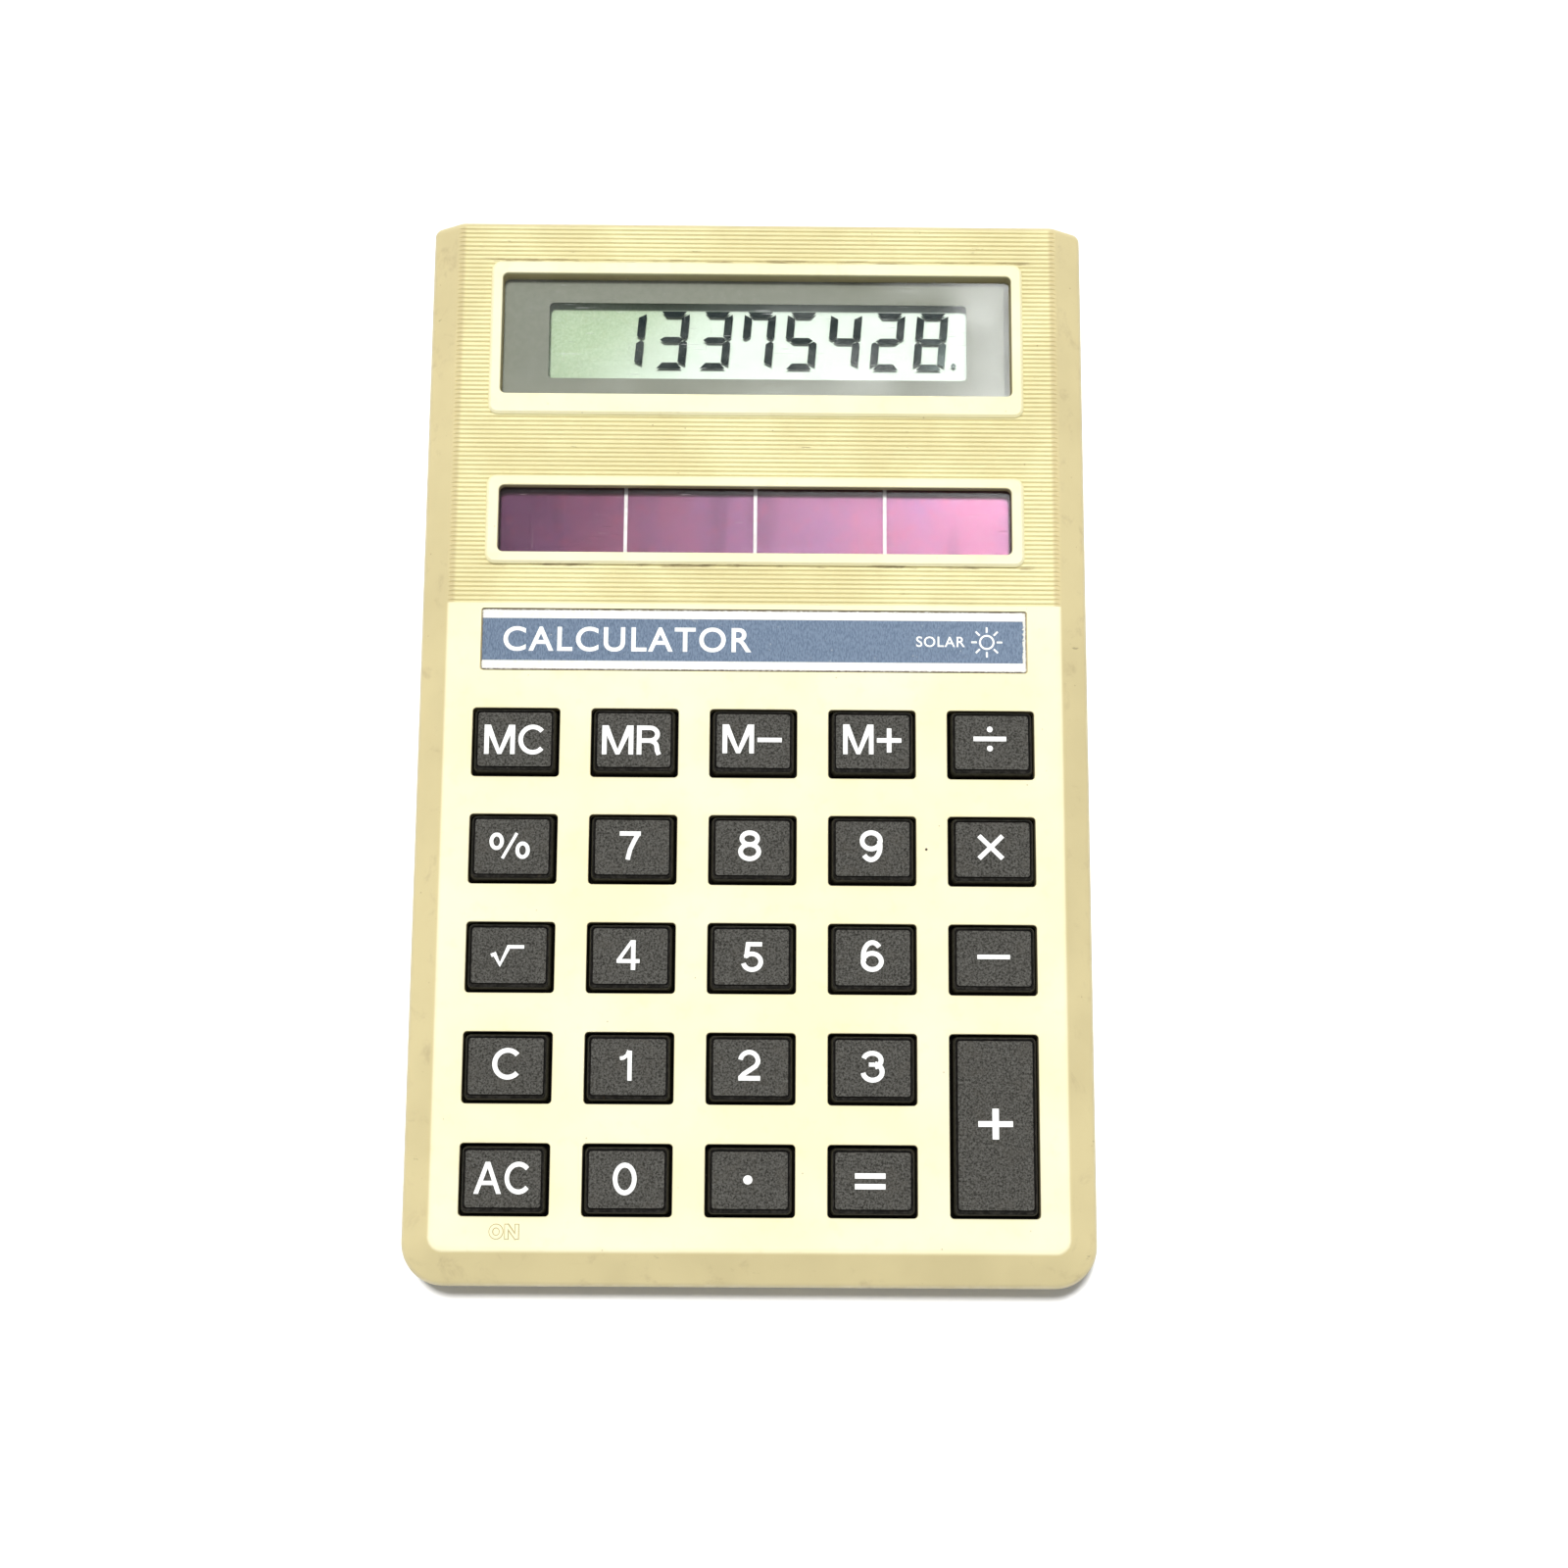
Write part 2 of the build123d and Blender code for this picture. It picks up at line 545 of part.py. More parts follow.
with BuildPart() as solar_cells:
    with BuildSketch(Plane.XY.offset(CELL_Z)):
        with Locations((0, SOLAR_Y)):
            with GridLocations(CELL_PITCH, 0, CELL_COUNT, 1):
                Rectangle(CELL_PITCH - CELL_GAP, CELL_LENGTH)
    extrude(amount=CELL_FILM)
save(solar_cells.part, "solar_cells")

with BuildPart() as solar_backing:
    with BuildSketch(Plane.XY.offset(BACKING_Z)):
        with Locations((0, SOLAR_Y)):
            Rectangle(*SOLAR_GLASS)
    extrude(amount=BACKING_THICKNESS)
save(solar_backing.part, "solar_backing")

# ================================================================ nameplate
with BuildPart() as nameplate:
    with BuildSketch(Plane.XY.offset(PANEL_Z - NAMEPLATE_RECESS)):
        with Locations((0, NAMEPLATE_Y)):
            RectangleRounded(*NAMEPLATE, RECESS_CORNER)
    extrude(amount=NAMEPLATE_THICKNESS)
save(nameplate.part, "nameplate")


# ================================================================ keys
def build_key(key_x, key_y, opening_length):
    """A moulded key cap: flange, upright skirt, tapered head with a rimmed face, hollow inside."""
    skirt = (OPENING_WIDTH - 2 * KEY_GAP, opening_length - 2 * KEY_GAP)
    head = (skirt[0] - 2 * SIDE_SLOPE, skirt[1] - BACK_SLOPE - FRONT_SLOPE)
    head_y = key_y + (FRONT_SLOPE - BACK_SLOPE) / 2
    recess = (head[0] - 2 * RIM_SIDE, head[1] - RIM_BACK - RIM_FRONT)
    recess_y = head_y + (RIM_FRONT - RIM_BACK) / 2
    plateau = (recess[0] - 2 * RIM_GROOVE, recess[1] - 2 * RIM_GROOVE)
    hollow = (skirt[0] - 2 * KEY_WALL, skirt[1] - 2 * KEY_WALL)
    with BuildPart() as key:
        with BuildSketch(Plane.XY.offset(FLANGE_BOTTOM_Z)):
            with Locations((key_x, key_y)):
                Rectangle(OPENING_WIDTH + 2 * FLANGE_MARGIN, opening_length + 2 * FLANGE_MARGIN)
        extrude(amount=FLANGE_TOP_Z - FLANGE_BOTTOM_Z)
        with BuildSketch(Plane.XY.offset(FLANGE_TOP_Z)):
            with Locations((key_x, key_y)):
                RectangleRounded(*skirt, KEY_CORNER)
        extrude(amount=PANEL_Z - FLANGE_TOP_Z)
        with BuildSketch(Plane.XY.offset(PANEL_Z)):
            with Locations((key_x, key_y)):
                RectangleRounded(*skirt, KEY_CORNER)
        with BuildSketch(Plane.XY.offset(KEY_TOP_Z)):
            with Locations((key_x, head_y)):
                RectangleRounded(*head, KEY_CORNER)
        loft(ruled=True)
        fillet(key.edges().group_by(Axis.Z)[-1], KEY_EDGE_RADIUS)
        # The face lies a little under its rim, with a fine groove round it.
        with BuildSketch(Plane.XY.offset(KEY_TOP_Z)):
            with Locations((key_x, recess_y)):
                RectangleRounded(*recess, FACE_CORNER)
        extrude(amount=-KEY_FACE_DROP, mode=Mode.SUBTRACT)
        with BuildSketch(Plane.XY.offset(KEY_TOP_Z)):
            with Locations((key_x, recess_y)):
                RectangleRounded(*recess, FACE_CORNER)
                RectangleRounded(*plateau, FACE_CORNER, mode=Mode.SUBTRACT)
        extrude(amount=-RIM_GROOVE_DEPTH - KEY_FACE_DROP, mode=Mode.SUBTRACT)
        # Hollow from below, round the post that presses the dome.
        with BuildSketch(Plane.XY.offset(FLANGE_BOTTOM_Z)):
            with Locations((key_x, key_y)):
                Rectangle(*hollow)
                Circle(POST_DIAMETER / 2, mode=Mode.SUBTRACT)
        extrude(amount=KEY_TOP_Z - KEY_ROOF - FLANGE_BOTTOM_Z, mode=Mode.SUBTRACT)
    return key.part


for name, key_x, key_y, opening_length in KEYS:
    save(build_key(key_x, key_y, opening_length), name)

# ================================================================ rubber keypad
DOME_PLACES = [(x, y) for _, x, y, _ in KEYS]
with BuildPart() as keypad_rubber:
    with BuildSketch(Plane.XY.offset(BOARD_TOP_Z)):
        with Locations((0, (SHEET_BACK_Y + SHEET_FRONT_Y) / 2)):
            RectangleRounded(SHEET_WIDTH, SHEET_BACK_Y - SHEET_FRONT_Y, SHEET_CORNER)
        with Locations(*[place for place in BOARD_BOSSES if place[1] < SHEET_BACK_Y]):
            Circle(BOARD_BOSS_DIAMETER / 2 + BOSS_ROOM, mode=Mode.SUBTRACT)
    extrude(amount=SHEET_THICKNESS)
    for dome_x, dome_y in DOME_PLACES:
        with Locations((dome_x, dome_y, BOARD_TOP_Z + SHEET_THICKNESS)):
            Cone(DOME_BASE_RADIUS, DOME_TOP_RADIUS, DOME_HEIGHT, align=STANDING)
        with Locations((dome_x, dome_y, BOARD_TOP_Z)):
            Cone(
                DOME_BASE_RADIUS - DOME_WEB,
                DOME_TOP_RADIUS - DOME_WEB,
                HOLLOW_HEIGHT,
                align=STANDING,
                mode=Mode.SUBTRACT,
            )
save(keypad_rubber.part, "keypad_rubber")

with BuildPart() as contact_pills:
    with BuildSketch(Plane.XY.offset(BOARD_TOP_Z + HOLLOW_HEIGHT - PILL_THICKNESS)):
        with Locations(*DOME_PLACES):
            Circle(PILL_RADIUS)
    extrude(amount=PILL_THICKNESS)
save(contact_pills.part, "contact_pills")

# ================================================================ circuit board
with BuildPart() as main_board:
    with BuildSketch(Plane.XY.offset(BOARD_BOTTOM_Z)):
        with Locations((0, (BOARD_FRONT_Y + BOARD_BACK_Y) / 2)):
            RectangleRounded(BOARD_WIDTH, BOARD_BACK_Y - BOARD_FRONT_Y, BOARD_CORNER)
        with Locations(*BOARD_BOSSES):
            Circle(BOARD_SCREW_DIAMETER / 2 + SCREW_PLAY, mode=Mode.SUBTRACT)
        with Locations(CAPACITOR_AT):
            Rectangle(*CAPACITOR_NOTCH, mode=Mode.SUBTRACT)
    extrude(amount=BOARD_THICKNESS)
save(main_board.part, "main_board")

with BuildPart() as contact_pads:
    with BuildSketch(Plane.XY.offset(BOARD_TOP_Z)):
        with Locations(*DOME_PLACES):
            Circle(PAD_RADIUS)
    extrude(amount=PAD_THICKNESS)
save(contact_pads.part, "contact_pads")

# Flat-pack calculator chip and its gull-wing leads.
with BuildPart() as main_chip:
    with BuildSketch(Plane.XY.offset(BOARD_TOP_Z + CHIP_STANDOFF)):
        with Locations(CHIP_AT):
            Rectangle(CHIP_SIZE, CHIP_SIZE)
    extrude(amount=CHIP_THICKNESS)
    chamfer(main_chip.edges().group_by(Axis.Z)[-1], CHIP_CHAMFER)
save(main_chip.part, "main_chip")

with BuildPart() as lead_row:
    lead_start = CHIP_SIZE / 2
    lead_end = lead_start + LEAD_FOOT
    with BuildSketch(Plane.XZ):
        with BuildLine():
            Polyline(
                (lead_start, LEAD_EXIT_Z),
                (lead_start, LEAD_EXIT_Z + LEAD_THICKNESS),
                (lead_start + LEAD_SHOULDER, LEAD_EXIT_Z + LEAD_THICKNESS),
                (lead_start + 2 * LEAD_SHOULDER, LEAD_THICKNESS),
                (lead_end, LEAD_THICKNESS),
                (lead_end, 0),
                (lead_start + 2 * LEAD_SHOULDER - LEAD_THICKNESS, 0),
                (lead_start + LEAD_SHOULDER - LEAD_THICKNESS, LEAD_EXIT_Z),
                close=True,
            )
        make_face()
    extrude(amount=LEAD_WIDTH / 2, both=True)

with BuildPart() as chip_leads:
    with Locations((*CHIP_AT, BOARD_TOP_Z)):
        with PolarLocations(0, 4):
            with GridLocations(0, LEAD_PITCH, 1, LEADS_PER_SIDE):
                add(lead_row.part)
save(chip_leads.part, "chip_leads")

# Electrolytic capacitor lying in a notch of the board, its two leads over the board.
CAPACITOR_END_X = CAPACITOR_AT[0] - CAPACITOR_LENGTH / 2
LEAD_END_X = CAPACITOR_END_X - CAPACITOR_LEAD_LENGTH + JOINT_TIP_RADIUS
LEAD_ENDS = [(LEAD_END_X, CAPACITOR_AT[1] + side * CAPACITOR_LEAD_SPACING / 2) for side in (-1, 1)]
with BuildPart() as electrolytic_capacitor:
    with BuildSketch(Plane.YZ.offset(CAPACITOR_END_X)):
        with Locations((CAPACITOR_AT[1], CAPACITOR_AXIS_Z)):
            Circle(CAPACITOR_DIAMETER / 2)
    extrude(amount=CAPACITOR_LENGTH)
    fillet(electrolytic_capacitor.edges().filter_by(GeomType.CIRCLE), CAPACITOR_EDGE)
save(electrolytic_capacitor.part, "electrolytic_capacitor")

with BuildPart() as capacitor_leads:
    with BuildSketch(Plane.YZ.offset(CAPACITOR_END_X)):
        with Locations((CAPACITOR_AT[1], CAPACITOR_AXIS_Z)):
            with GridLocations(CAPACITOR_LEAD_SPACING, 0, 2, 1):
                Circle(CAPACITOR_LEAD_DIAMETER / 2)
    extrude(amount=-CAPACITOR_LEAD_LENGTH)
save(capacitor_leads.part, "capacitor_leads")

with BuildPart() as ceramic_capacitors:
    with Locations(*[(x, y, BOARD_TOP_Z) for x, y in CERAMIC_PLACES]):
        Box(*CERAMIC_SIZE, align=STANDING)
save(ceramic_capacitors.part, "ceramic_capacitors")

with BuildPart() as resistors:
    with Locations(*[(x, y, BOARD_TOP_Z) for x, y in RESISTOR_PLACES]):
        Box(*RESISTOR_SIZE, align=STANDING)
save(resistors.part, "resistors")

with BuildPart() as limiter_diode:
    with Locations((*DIODE_AT, BOARD_TOP_Z + DIODE_LIFT + DIODE_DIAMETER / 2)):
        Cylinder(DIODE_DIAMETER / 2, DIODE_LENGTH, rotation=(0, 90, 0))
save(limiter_diode.part, "limiter_diode")


# ================================================================ solar wires
def build_wire(route):
    """A wire as straight runs joined by tangent arcs."""
    points = [Vector(*point) for point in route]
    radii = []
    for before, corner, after in zip(points, points[1:], points[2:]):
        turn = (corner - before).get_angle(after - corner)
        shorter = min((corner - before).length, (after - corner).length)
        radii.append(BEND_SHARE * shorter / math.tan(math.radians(turn / 2)))
    print("wire bend radii:", [round(radius, 1) for radius in radii])
    with BuildPart() as wire:
        with BuildLine() as path:
            FilletPolyline(*points, radius=radii)
        with BuildSketch(Plane(origin=path.line @ 0, z_dir=path.line % 0)):
            Circle(WIRE_DIAMETER / 2)
        sweep()
    length = sum(edge.length for edge in path.edges())
    section = math.pi * WIRE_DIAMETER**2 / 4
    print("wire length:", round(length, 1))
    print("volume over section times length:", round(wire.part.volume / section / length, 3))
    return wire.part


solar_wire_red = build_wire(RED_WIRE_ROUTE)
save(solar_wire_red, "solar_wire_red")
solar_wire_black = build_wire(BLACK_WIRE_ROUTE)
save(solar_wire_black, "solar_wire_black")

# Solder: a small mound at both ends of each wire and at the capacitor's leads, shaped round them.
with BuildPart() as solder_joints:
    for place in [route[0] for route in (RED_WIRE_ROUTE, BLACK_WIRE_ROUTE)]:
        with Locations(Location((place[0], place[1], BACKING_Z), (180, 0, 0))):
            Cone(JOINT_RADIUS, JOINT_TIP_RADIUS, JOINT_HEIGHT, align=STANDING)
    for place in [route[-1] for route in (RED_WIRE_ROUTE, BLACK_WIRE_ROUTE)] + LEAD_ENDS:
        with Locations((place[0], place[1], BOARD_TOP_Z)):
            Cone(BOARD_JOINT_RADIUS, JOINT_TIP_RADIUS, JOINT_HEIGHT, align=STANDING)
    add(solar_wire_red, mode=Mode.SUBTRACT)
    add(solar_wire_black, mode=Mode.SUBTRACT)
    add(capacitor_leads.part, mode=Mode.SUBTRACT)
save(solder_joints.part, "solder_joints")


# ================================================================ screws
def build_screws(places, seat_z, tip_z, shank, head, head_height):
    """Pan-head screws driven from the rear, with a cross recess."""
    with BuildPart() as screws:
        with Locations(*[(x, y, seat_z) for x, y in places]):
            Cylinder(shank / 2, tip_z - seat_z, align=STANDING)
        with Locations(*[(x, y, seat_z - head_height) for x, y in places]):
            Cylinder(head / 2, head_height, align=STANDING)
        rims = [e for e in screws.edges() if abs(e.center().Z - seat_z + head_height) < SLIVER]
        fillet(rims, SCREW_RIM_SHARE * head_height)
        with Locations(*[(x, y, seat_z - head_height) for x, y in places]):
            Box(*SCREW_SLOT, SCREW_SLOT_DEPTH, align=STANDING, mode=Mode.SUBTRACT)
            Box(SCREW_SLOT[1], SCREW_SLOT[0], SCREW_SLOT_DEPTH, align=STANDING, mode=Mode.SUBTRACT)
    return screws.part


board_screws = build_screws(
    BOARD_BOSSES,
    BOARD_BOTTOM_Z,
    BOARD_SCREW_TIP_Z,
    BOARD_SCREW_DIAMETER,
    BOARD_SCREW_HEAD,
    BOARD_SCREW_HEAD_HEIGHT,
)
save(board_screws, "board_screws")
case_screws = build_screws(
    CASE_BOSSES,
    HEAD_RECESS,
    CASE_SCREW_TIP_Z,
    CASE_SCREW_DIAMETER,
    CASE_SCREW_HEAD,
    CASE_SCREW_HEAD_HEIGHT,
)
save(case_screws, "case_screws")
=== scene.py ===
import math
import bmesh
import bpy
from mathutils import Matrix, Vector
from mathutils.geometry import delaunay_2d_cdt


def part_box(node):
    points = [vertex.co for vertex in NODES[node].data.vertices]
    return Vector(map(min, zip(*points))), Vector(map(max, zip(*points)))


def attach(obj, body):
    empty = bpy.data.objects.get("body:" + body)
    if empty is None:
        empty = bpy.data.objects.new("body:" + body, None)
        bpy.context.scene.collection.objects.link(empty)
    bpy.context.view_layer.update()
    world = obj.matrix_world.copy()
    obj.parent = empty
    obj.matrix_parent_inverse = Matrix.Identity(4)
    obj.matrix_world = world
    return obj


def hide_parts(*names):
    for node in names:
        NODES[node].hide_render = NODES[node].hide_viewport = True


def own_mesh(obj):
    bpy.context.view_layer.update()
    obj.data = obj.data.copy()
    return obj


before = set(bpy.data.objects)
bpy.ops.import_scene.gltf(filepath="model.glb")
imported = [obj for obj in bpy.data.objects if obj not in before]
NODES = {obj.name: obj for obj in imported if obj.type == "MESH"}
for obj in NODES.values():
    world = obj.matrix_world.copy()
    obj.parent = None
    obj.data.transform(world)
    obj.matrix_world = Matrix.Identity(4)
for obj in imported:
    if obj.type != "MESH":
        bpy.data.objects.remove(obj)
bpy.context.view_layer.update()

MM = 0.001
PANEL_HIGH = 8.0        # height of the front panel, mm
KEYS = sorted(name for name in NODES if name.startswith("key_"))


# ============================================================ small helpers
class Paint:
    """A material under construction, with its coordinates in millimetres in the object's own frame."""

    def __init__(self, name):
        self.material = bpy.data.materials.new(name)
        self.material.use_nodes = True
        self.tree = self.material.node_tree
        self.tree.nodes.clear()
        self.output = self.tree.nodes.new("ShaderNodeOutputMaterial")
        coords = self.tree.nodes.new("ShaderNodeTexCoord")
        scaled = self.add(
            "ShaderNodeVectorMath", {0: coords.outputs["Object"], "Scale": 1 / MM}, operation="SCALE"
        )
        self.place = scaled.outputs[0]
        parts = self.add("ShaderNodeSeparateXYZ", {0: self.place})
        self.x, self.y, self.z = parts.outputs

    def add(self, kind, inputs=None, **settings):
        """A new node, with each input linked to a socket or set to a value."""
        node = self.tree.nodes.new(kind)
        for key, value in settings.items():
            setattr(node, key, value)
        for key, value in (inputs or {}).items():
            socket = node.inputs[key]
            if isinstance(value, bpy.types.NodeSocket):
                self.tree.links.new(value, socket)
            elif isinstance(value, (tuple, list)) and len(value) == 3 and socket.type == "RGBA":
                socket.default_value = (*value, 1)
            else:
                socket.default_value = value
        return node

    def math(self, operation, a, b=0.0, clamp=False):
        return self.add("ShaderNodeMath", {0: a, 1: b}, operation=operation, use_clamp=clamp).outputs[0]

    def times(self, a, b):
        return self.math("MULTIPLY", a, b)

    def most(self, a, b):
        return self.math("MAXIMUM", a, b)

    def flip(self, a):
        return self.math("SUBTRACT", 1.0, a, clamp=True)

    def step(self, value, low, high, start=0.0, end=1.0):
        """Smooth step: start below low, end above high. With low over high it falls instead of rising."""
        if low > high:
            low, high, start, end = high, low, end, start
        node = self.add(
            "ShaderNodeMapRange",
            {"Value": value, "From Min": low, "From Max": high, "To Min": start, "To Max": end},
            interpolation_type="SMOOTHSTEP",
        )
        return node.outputs[0]

    def band(self, value, low, high, soft):
        """One between low and high, zero outside."""
        rising = self.step(value, low - soft, low + soft)
        falling = self.step(value, high + soft, high - soft)
        return self.times(rising, falling)

    def stretched(self, x=1.0, y=1.0, z=1.0, turn=0.0, shift=(0, 0, 0)):
        """The coordinates scaled along each axis and turned about the vertical, in degrees."""
        node = self.add(
            "ShaderNodeMapping",
            {"Vector": self.place, "Scale": (x, y, z), "Rotation": (0, 0, math.radians(turn)),
             "Location": shift},
        )
        return node.outputs[0]

    def noise(self, scale, detail=2.0, rough=0.5, vector=None, distort=0.0):
        node = self.add(
            "ShaderNodeTexNoise",
            {"Vector": vector or self.place, "Scale": scale, "Detail": detail, "Roughness": rough,
             "Distortion": distort},
        )
        return node.outputs[0]

    def specks(self, scale, size):
        """Small round spots scattered at random."""
        node = self.add("ShaderNodeTexVoronoi", {"Vector": self.place, "Scale": scale})
        spot = self.step(node.outputs["Distance"], size, size * 0.4)
        pick = self.add("ShaderNodeSeparateColor", {0: node.outputs["Color"]}).outputs[0]
        return self.times(spot, self.step(pick, 0.55, 0.75))

    def mix(self, factor, a, b):
        node = self.add("ShaderNodeMix", {"Factor": factor}, data_type="RGBA")
        for socket, value in ((node.inputs[6], a), (node.inputs[7], b)):
            if isinstance(value, bpy.types.NodeSocket):
                self.tree.links.new(value, socket)
            else:
                socket.default_value = (*value, 1)
        return node.outputs[2]

    def bump(self, height, distance, strength=1.0, under=None):
        inputs = {"Height": height, "Distance": distance, "Strength": strength}
        if under is not None:
            inputs["Normal"] = under
        return self.add("ShaderNodeBump", inputs).outputs[0]

    def finish(self, **inputs):
        """End the material with a Principled shader."""
        names = {"color": "Base Color", "rough": "Roughness", "normal": "Normal", "metal": "Metallic",
                 "specular": "Specular IOR Level"}
        node = self.add("ShaderNodeBsdfPrincipled", {names[key]: value for key, value in inputs.items()})
        self.tree.links.new(node.outputs[0], self.output.inputs[0])
        return self.material

    def shade(self, socket):
        """End the material with any other shader."""
        self.tree.links.new(socket, self.output.inputs[0])
        return self.material


def dress(node_name, material):
    """Put a material on a CAD node."""
    item = NODES[node_name]
    if not item.material_slots:
        item.data.materials.append(material)
    for slot in item.material_slots:
        slot.material = material


INSIDE_ONLY = 1          # keep only triangles inside the polygons
MERGE_DISTANCE = 1e-5


def facing_up_index(points, triangle):
    """The triangle's corner numbers in anticlockwise order."""
    a, b, c = (points[i] for i in triangle)
    return triangle if (b - a).cross(c - a) > 0 else triangle[::-1]


def facing_up(face):
    """The polygon's corners in anticlockwise order."""
    area = sum(a[0] * b[1] - b[0] * a[1] for a, b in zip(face, face[1:] + face[:1]))
    return face if area > 0 else face[::-1]


def flat_mesh(name, faces, z, material, body, at=(0.0, 0.0)):
    """A printed layer: the union of flat polygons, in millimetres about a point, at a height in metres."""
    corners = []
    loops = []
    for face in faces:
        loops.append(list(range(len(corners), len(corners) + len(face))))
        corners += [Vector(corner) for corner in facing_up(face)]
    points, _, triangles, _, _, sources = delaunay_2d_cdt(corners, [], loops, INSIDE_ONLY, MERGE_DISTANCE)
    # A triangle that comes from none of the polygons lies in a hole, such as the middle of a nought.
    covered = [facing_up_index(points, t) for t, source in zip(triangles, sources) if source]
    mesh = bpy.data.meshes.new(name)
    mesh.from_pydata([((at[0] + p.x) * MM, (at[1] + p.y) * MM, z) for p in points], [], covered)
    item = bpy.data.objects.new(name, mesh)
    bpy.context.scene.collection.objects.link(item)
    mesh.materials.append(material)
    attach(item, body)


# ============================================================ plastics
# Where one kind of surface on the case or a key gives way to another, as pairs of values in mm.
RIBS_Y = (13.95, 14.1)             # the ribbed field is above this on the panel
RIBS_X = (32.2, 31.7)              # and within this of the middle
FOOT_GRIME_X = (30.5, 29.0)        # the grime along the frames' feet ends here
PANEL_Z = (7.8, 7.98)              # bevels below, panel and ribs above
FRAME_TOP_Z = (8.1, 8.25)          # panel below, tops of the raised frames above
GROOVE_TOP_Z = (7.985, 7.88)       # the ribs' crests are above, the grooves' floors below
GROOVE_FLOOR_Z = (7.75, 7.8)
BEVEL_Z = (7.6, 7.9)               # the bevels are below, where hands rub
WORN_LIT_EDGE_Z = (5.1, 6.0)           # outer edge of the bevels, paler there as wear and as painted highlight
KEY_FACE_Z = (9.142, 9.158)        # the flat face of a key, sunk in its rim
KEY_RIM_Z = (9.165, 9.19)
DISPLAY_FRAME_WIDE = 1.6           # frame beyond the display window
SOLAR_FRAME_WIDE = 0.4             # frame beyond the solar glass


def case_paint(name):
    """Cream ABS: pale on the panel and frames, yellower on bevels and ribs, dirt where it collects."""
    p = Paint(name)
    frame_top_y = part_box("display_window")[1].y / MM + DISPLAY_FRAME_WIDE
    solar_foot_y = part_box("solar_glass")[0].y / MM - SOLAR_FRAME_WIDE
    across = p.math("ABSOLUTE", p.x)
    ribbed = p.step(p.y, *RIBS_Y)
    frame_top = p.step(p.z, *FRAME_TOP_Z)
    panel = p.step(p.z, *PANEL_Z)
    pale = p.most(p.times(panel, p.flip(ribbed)), frame_top)
    cloud = p.noise(0.09, 3, 0.55)
    blotch = p.noise(0.5, 4, 0.6)
    fine = p.noise(6.0, 3, 0.6)
    aged = p.mix(p.step(cloud, 0.35, 0.68), (0.595, 0.510, 0.275), (0.545, 0.465, 0.25))
    ribs = p.mix(p.step(cloud, 0.35, 0.65), (0.76, 0.715, 0.415), (0.695, 0.635, 0.35))
    fresh = p.mix(p.step(cloud, 0.3, 0.7), (0.83, 0.785, 0.545), (0.82, 0.76, 0.48))
    rib_field = p.times(p.times(ribbed, panel), p.step(across, *RIBS_X))
    color = p.mix(rib_field, aged, ribs)
    color = p.mix(pale, color, fresh)
    color = p.mix(p.times(p.step(blotch, 0.52, 0.75), 0.14), color, (0.56, 0.46, 0.24))
    # The floors of the rib grooves are darker, more in some places than in others.
    below = p.times(p.step(p.z, *GROOVE_TOP_Z), p.step(p.z, *GROOVE_FLOOR_Z))
    in_groove = p.times(p.times(rib_field, p.flip(frame_top)), below)
    amount = p.step(p.noise(0.6, 5, 0.7, p.stretched(0.5, 1.0, 1)), 0.35, 0.75, 0.30, 0.85)
    color = p.mix(p.times(in_groove, amount), color, (0.40, 0.33, 0.16))
    # Dark grime in a few grooves, and along the foot of each frame.
    streak = p.noise(0.9, 5, 0.7, p.stretched(0.25, 2.2, 1))
    grime = p.times(p.step(streak, 0.665, 0.735), 0.7)
    by_display = p.band(p.y, frame_top_y - 0.15, frame_top_y + 0.25, 0.1)
    above_display = p.times(by_display, p.step(streak, 0.47, 0.62))
    by_solar = p.band(p.y, solar_foot_y - 0.25, solar_foot_y + 0.1, 0.1)
    below_solar = p.times(by_solar, p.step(streak, 0.50, 0.64))
    foot = p.times(p.most(above_display, below_solar), p.step(across, *FOOT_GRIME_X))
    grime = p.times(p.most(grime, p.times(foot, 0.8)), p.times(rib_field, p.flip(frame_top)))
    color = p.mix(grime, color, (0.17, 0.11, 0.05))
    # Handling marks on the bevels, a paler outer edge that is part wear and part painted highlight, and
    # small dark specks everywhere.
    bevel = p.flip(p.step(p.z, *BEVEL_Z))
    smudge = p.times(p.step(p.noise(0.33, 5, 0.65, distort=0.4), 0.54, 0.76), bevel)
    color = p.mix(p.times(smudge, 0.45), color, (0.36, 0.28, 0.16))
    nick = p.times(p.step(p.noise(0.55, 3, 0.6, p.stretched(0.5, 1.4, 1, turn=24)), 0.70, 0.76), bevel)
    color = p.mix(p.times(nick, 0.55), color, (0.20, 0.16, 0.09))
    worn_lit_edge = p.times(p.band(p.z, *WORN_LIT_EDGE_Z, 0.15), p.step(p.noise(0.8, 3, 0.6), 0.35, 0.65, 0.25, 0.8))
    color = p.mix(p.times(worn_lit_edge, 0.6), color, (0.70, 0.62, 0.42))
    color = p.mix(p.times(p.specks(0.55, 0.07), 0.5), color, (0.25, 0.17, 0.09))
    color = p.mix(p.times(p.specks(1.3, 0.06), 0.22), color, (0.40, 0.29, 0.16))
    # One dark moulding speck right of the nine and a little above its middle.
    nine_low, nine_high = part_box("key_9")
    speck_x = nine_high.x / MM + 0.65
    speck_y = (nine_low.y + nine_high.y) / 2 / MM + 0.2
    from_speck = p.add(
        "ShaderNodeVectorMath", {0: p.place, 1: (speck_x, speck_y, PANEL_HIGH)}, operation="DISTANCE"
    ).outputs["Value"]
    color = p.mix(p.step(from_speck, 0.17, 0.11), color, (0.05, 0.03, 0.02))
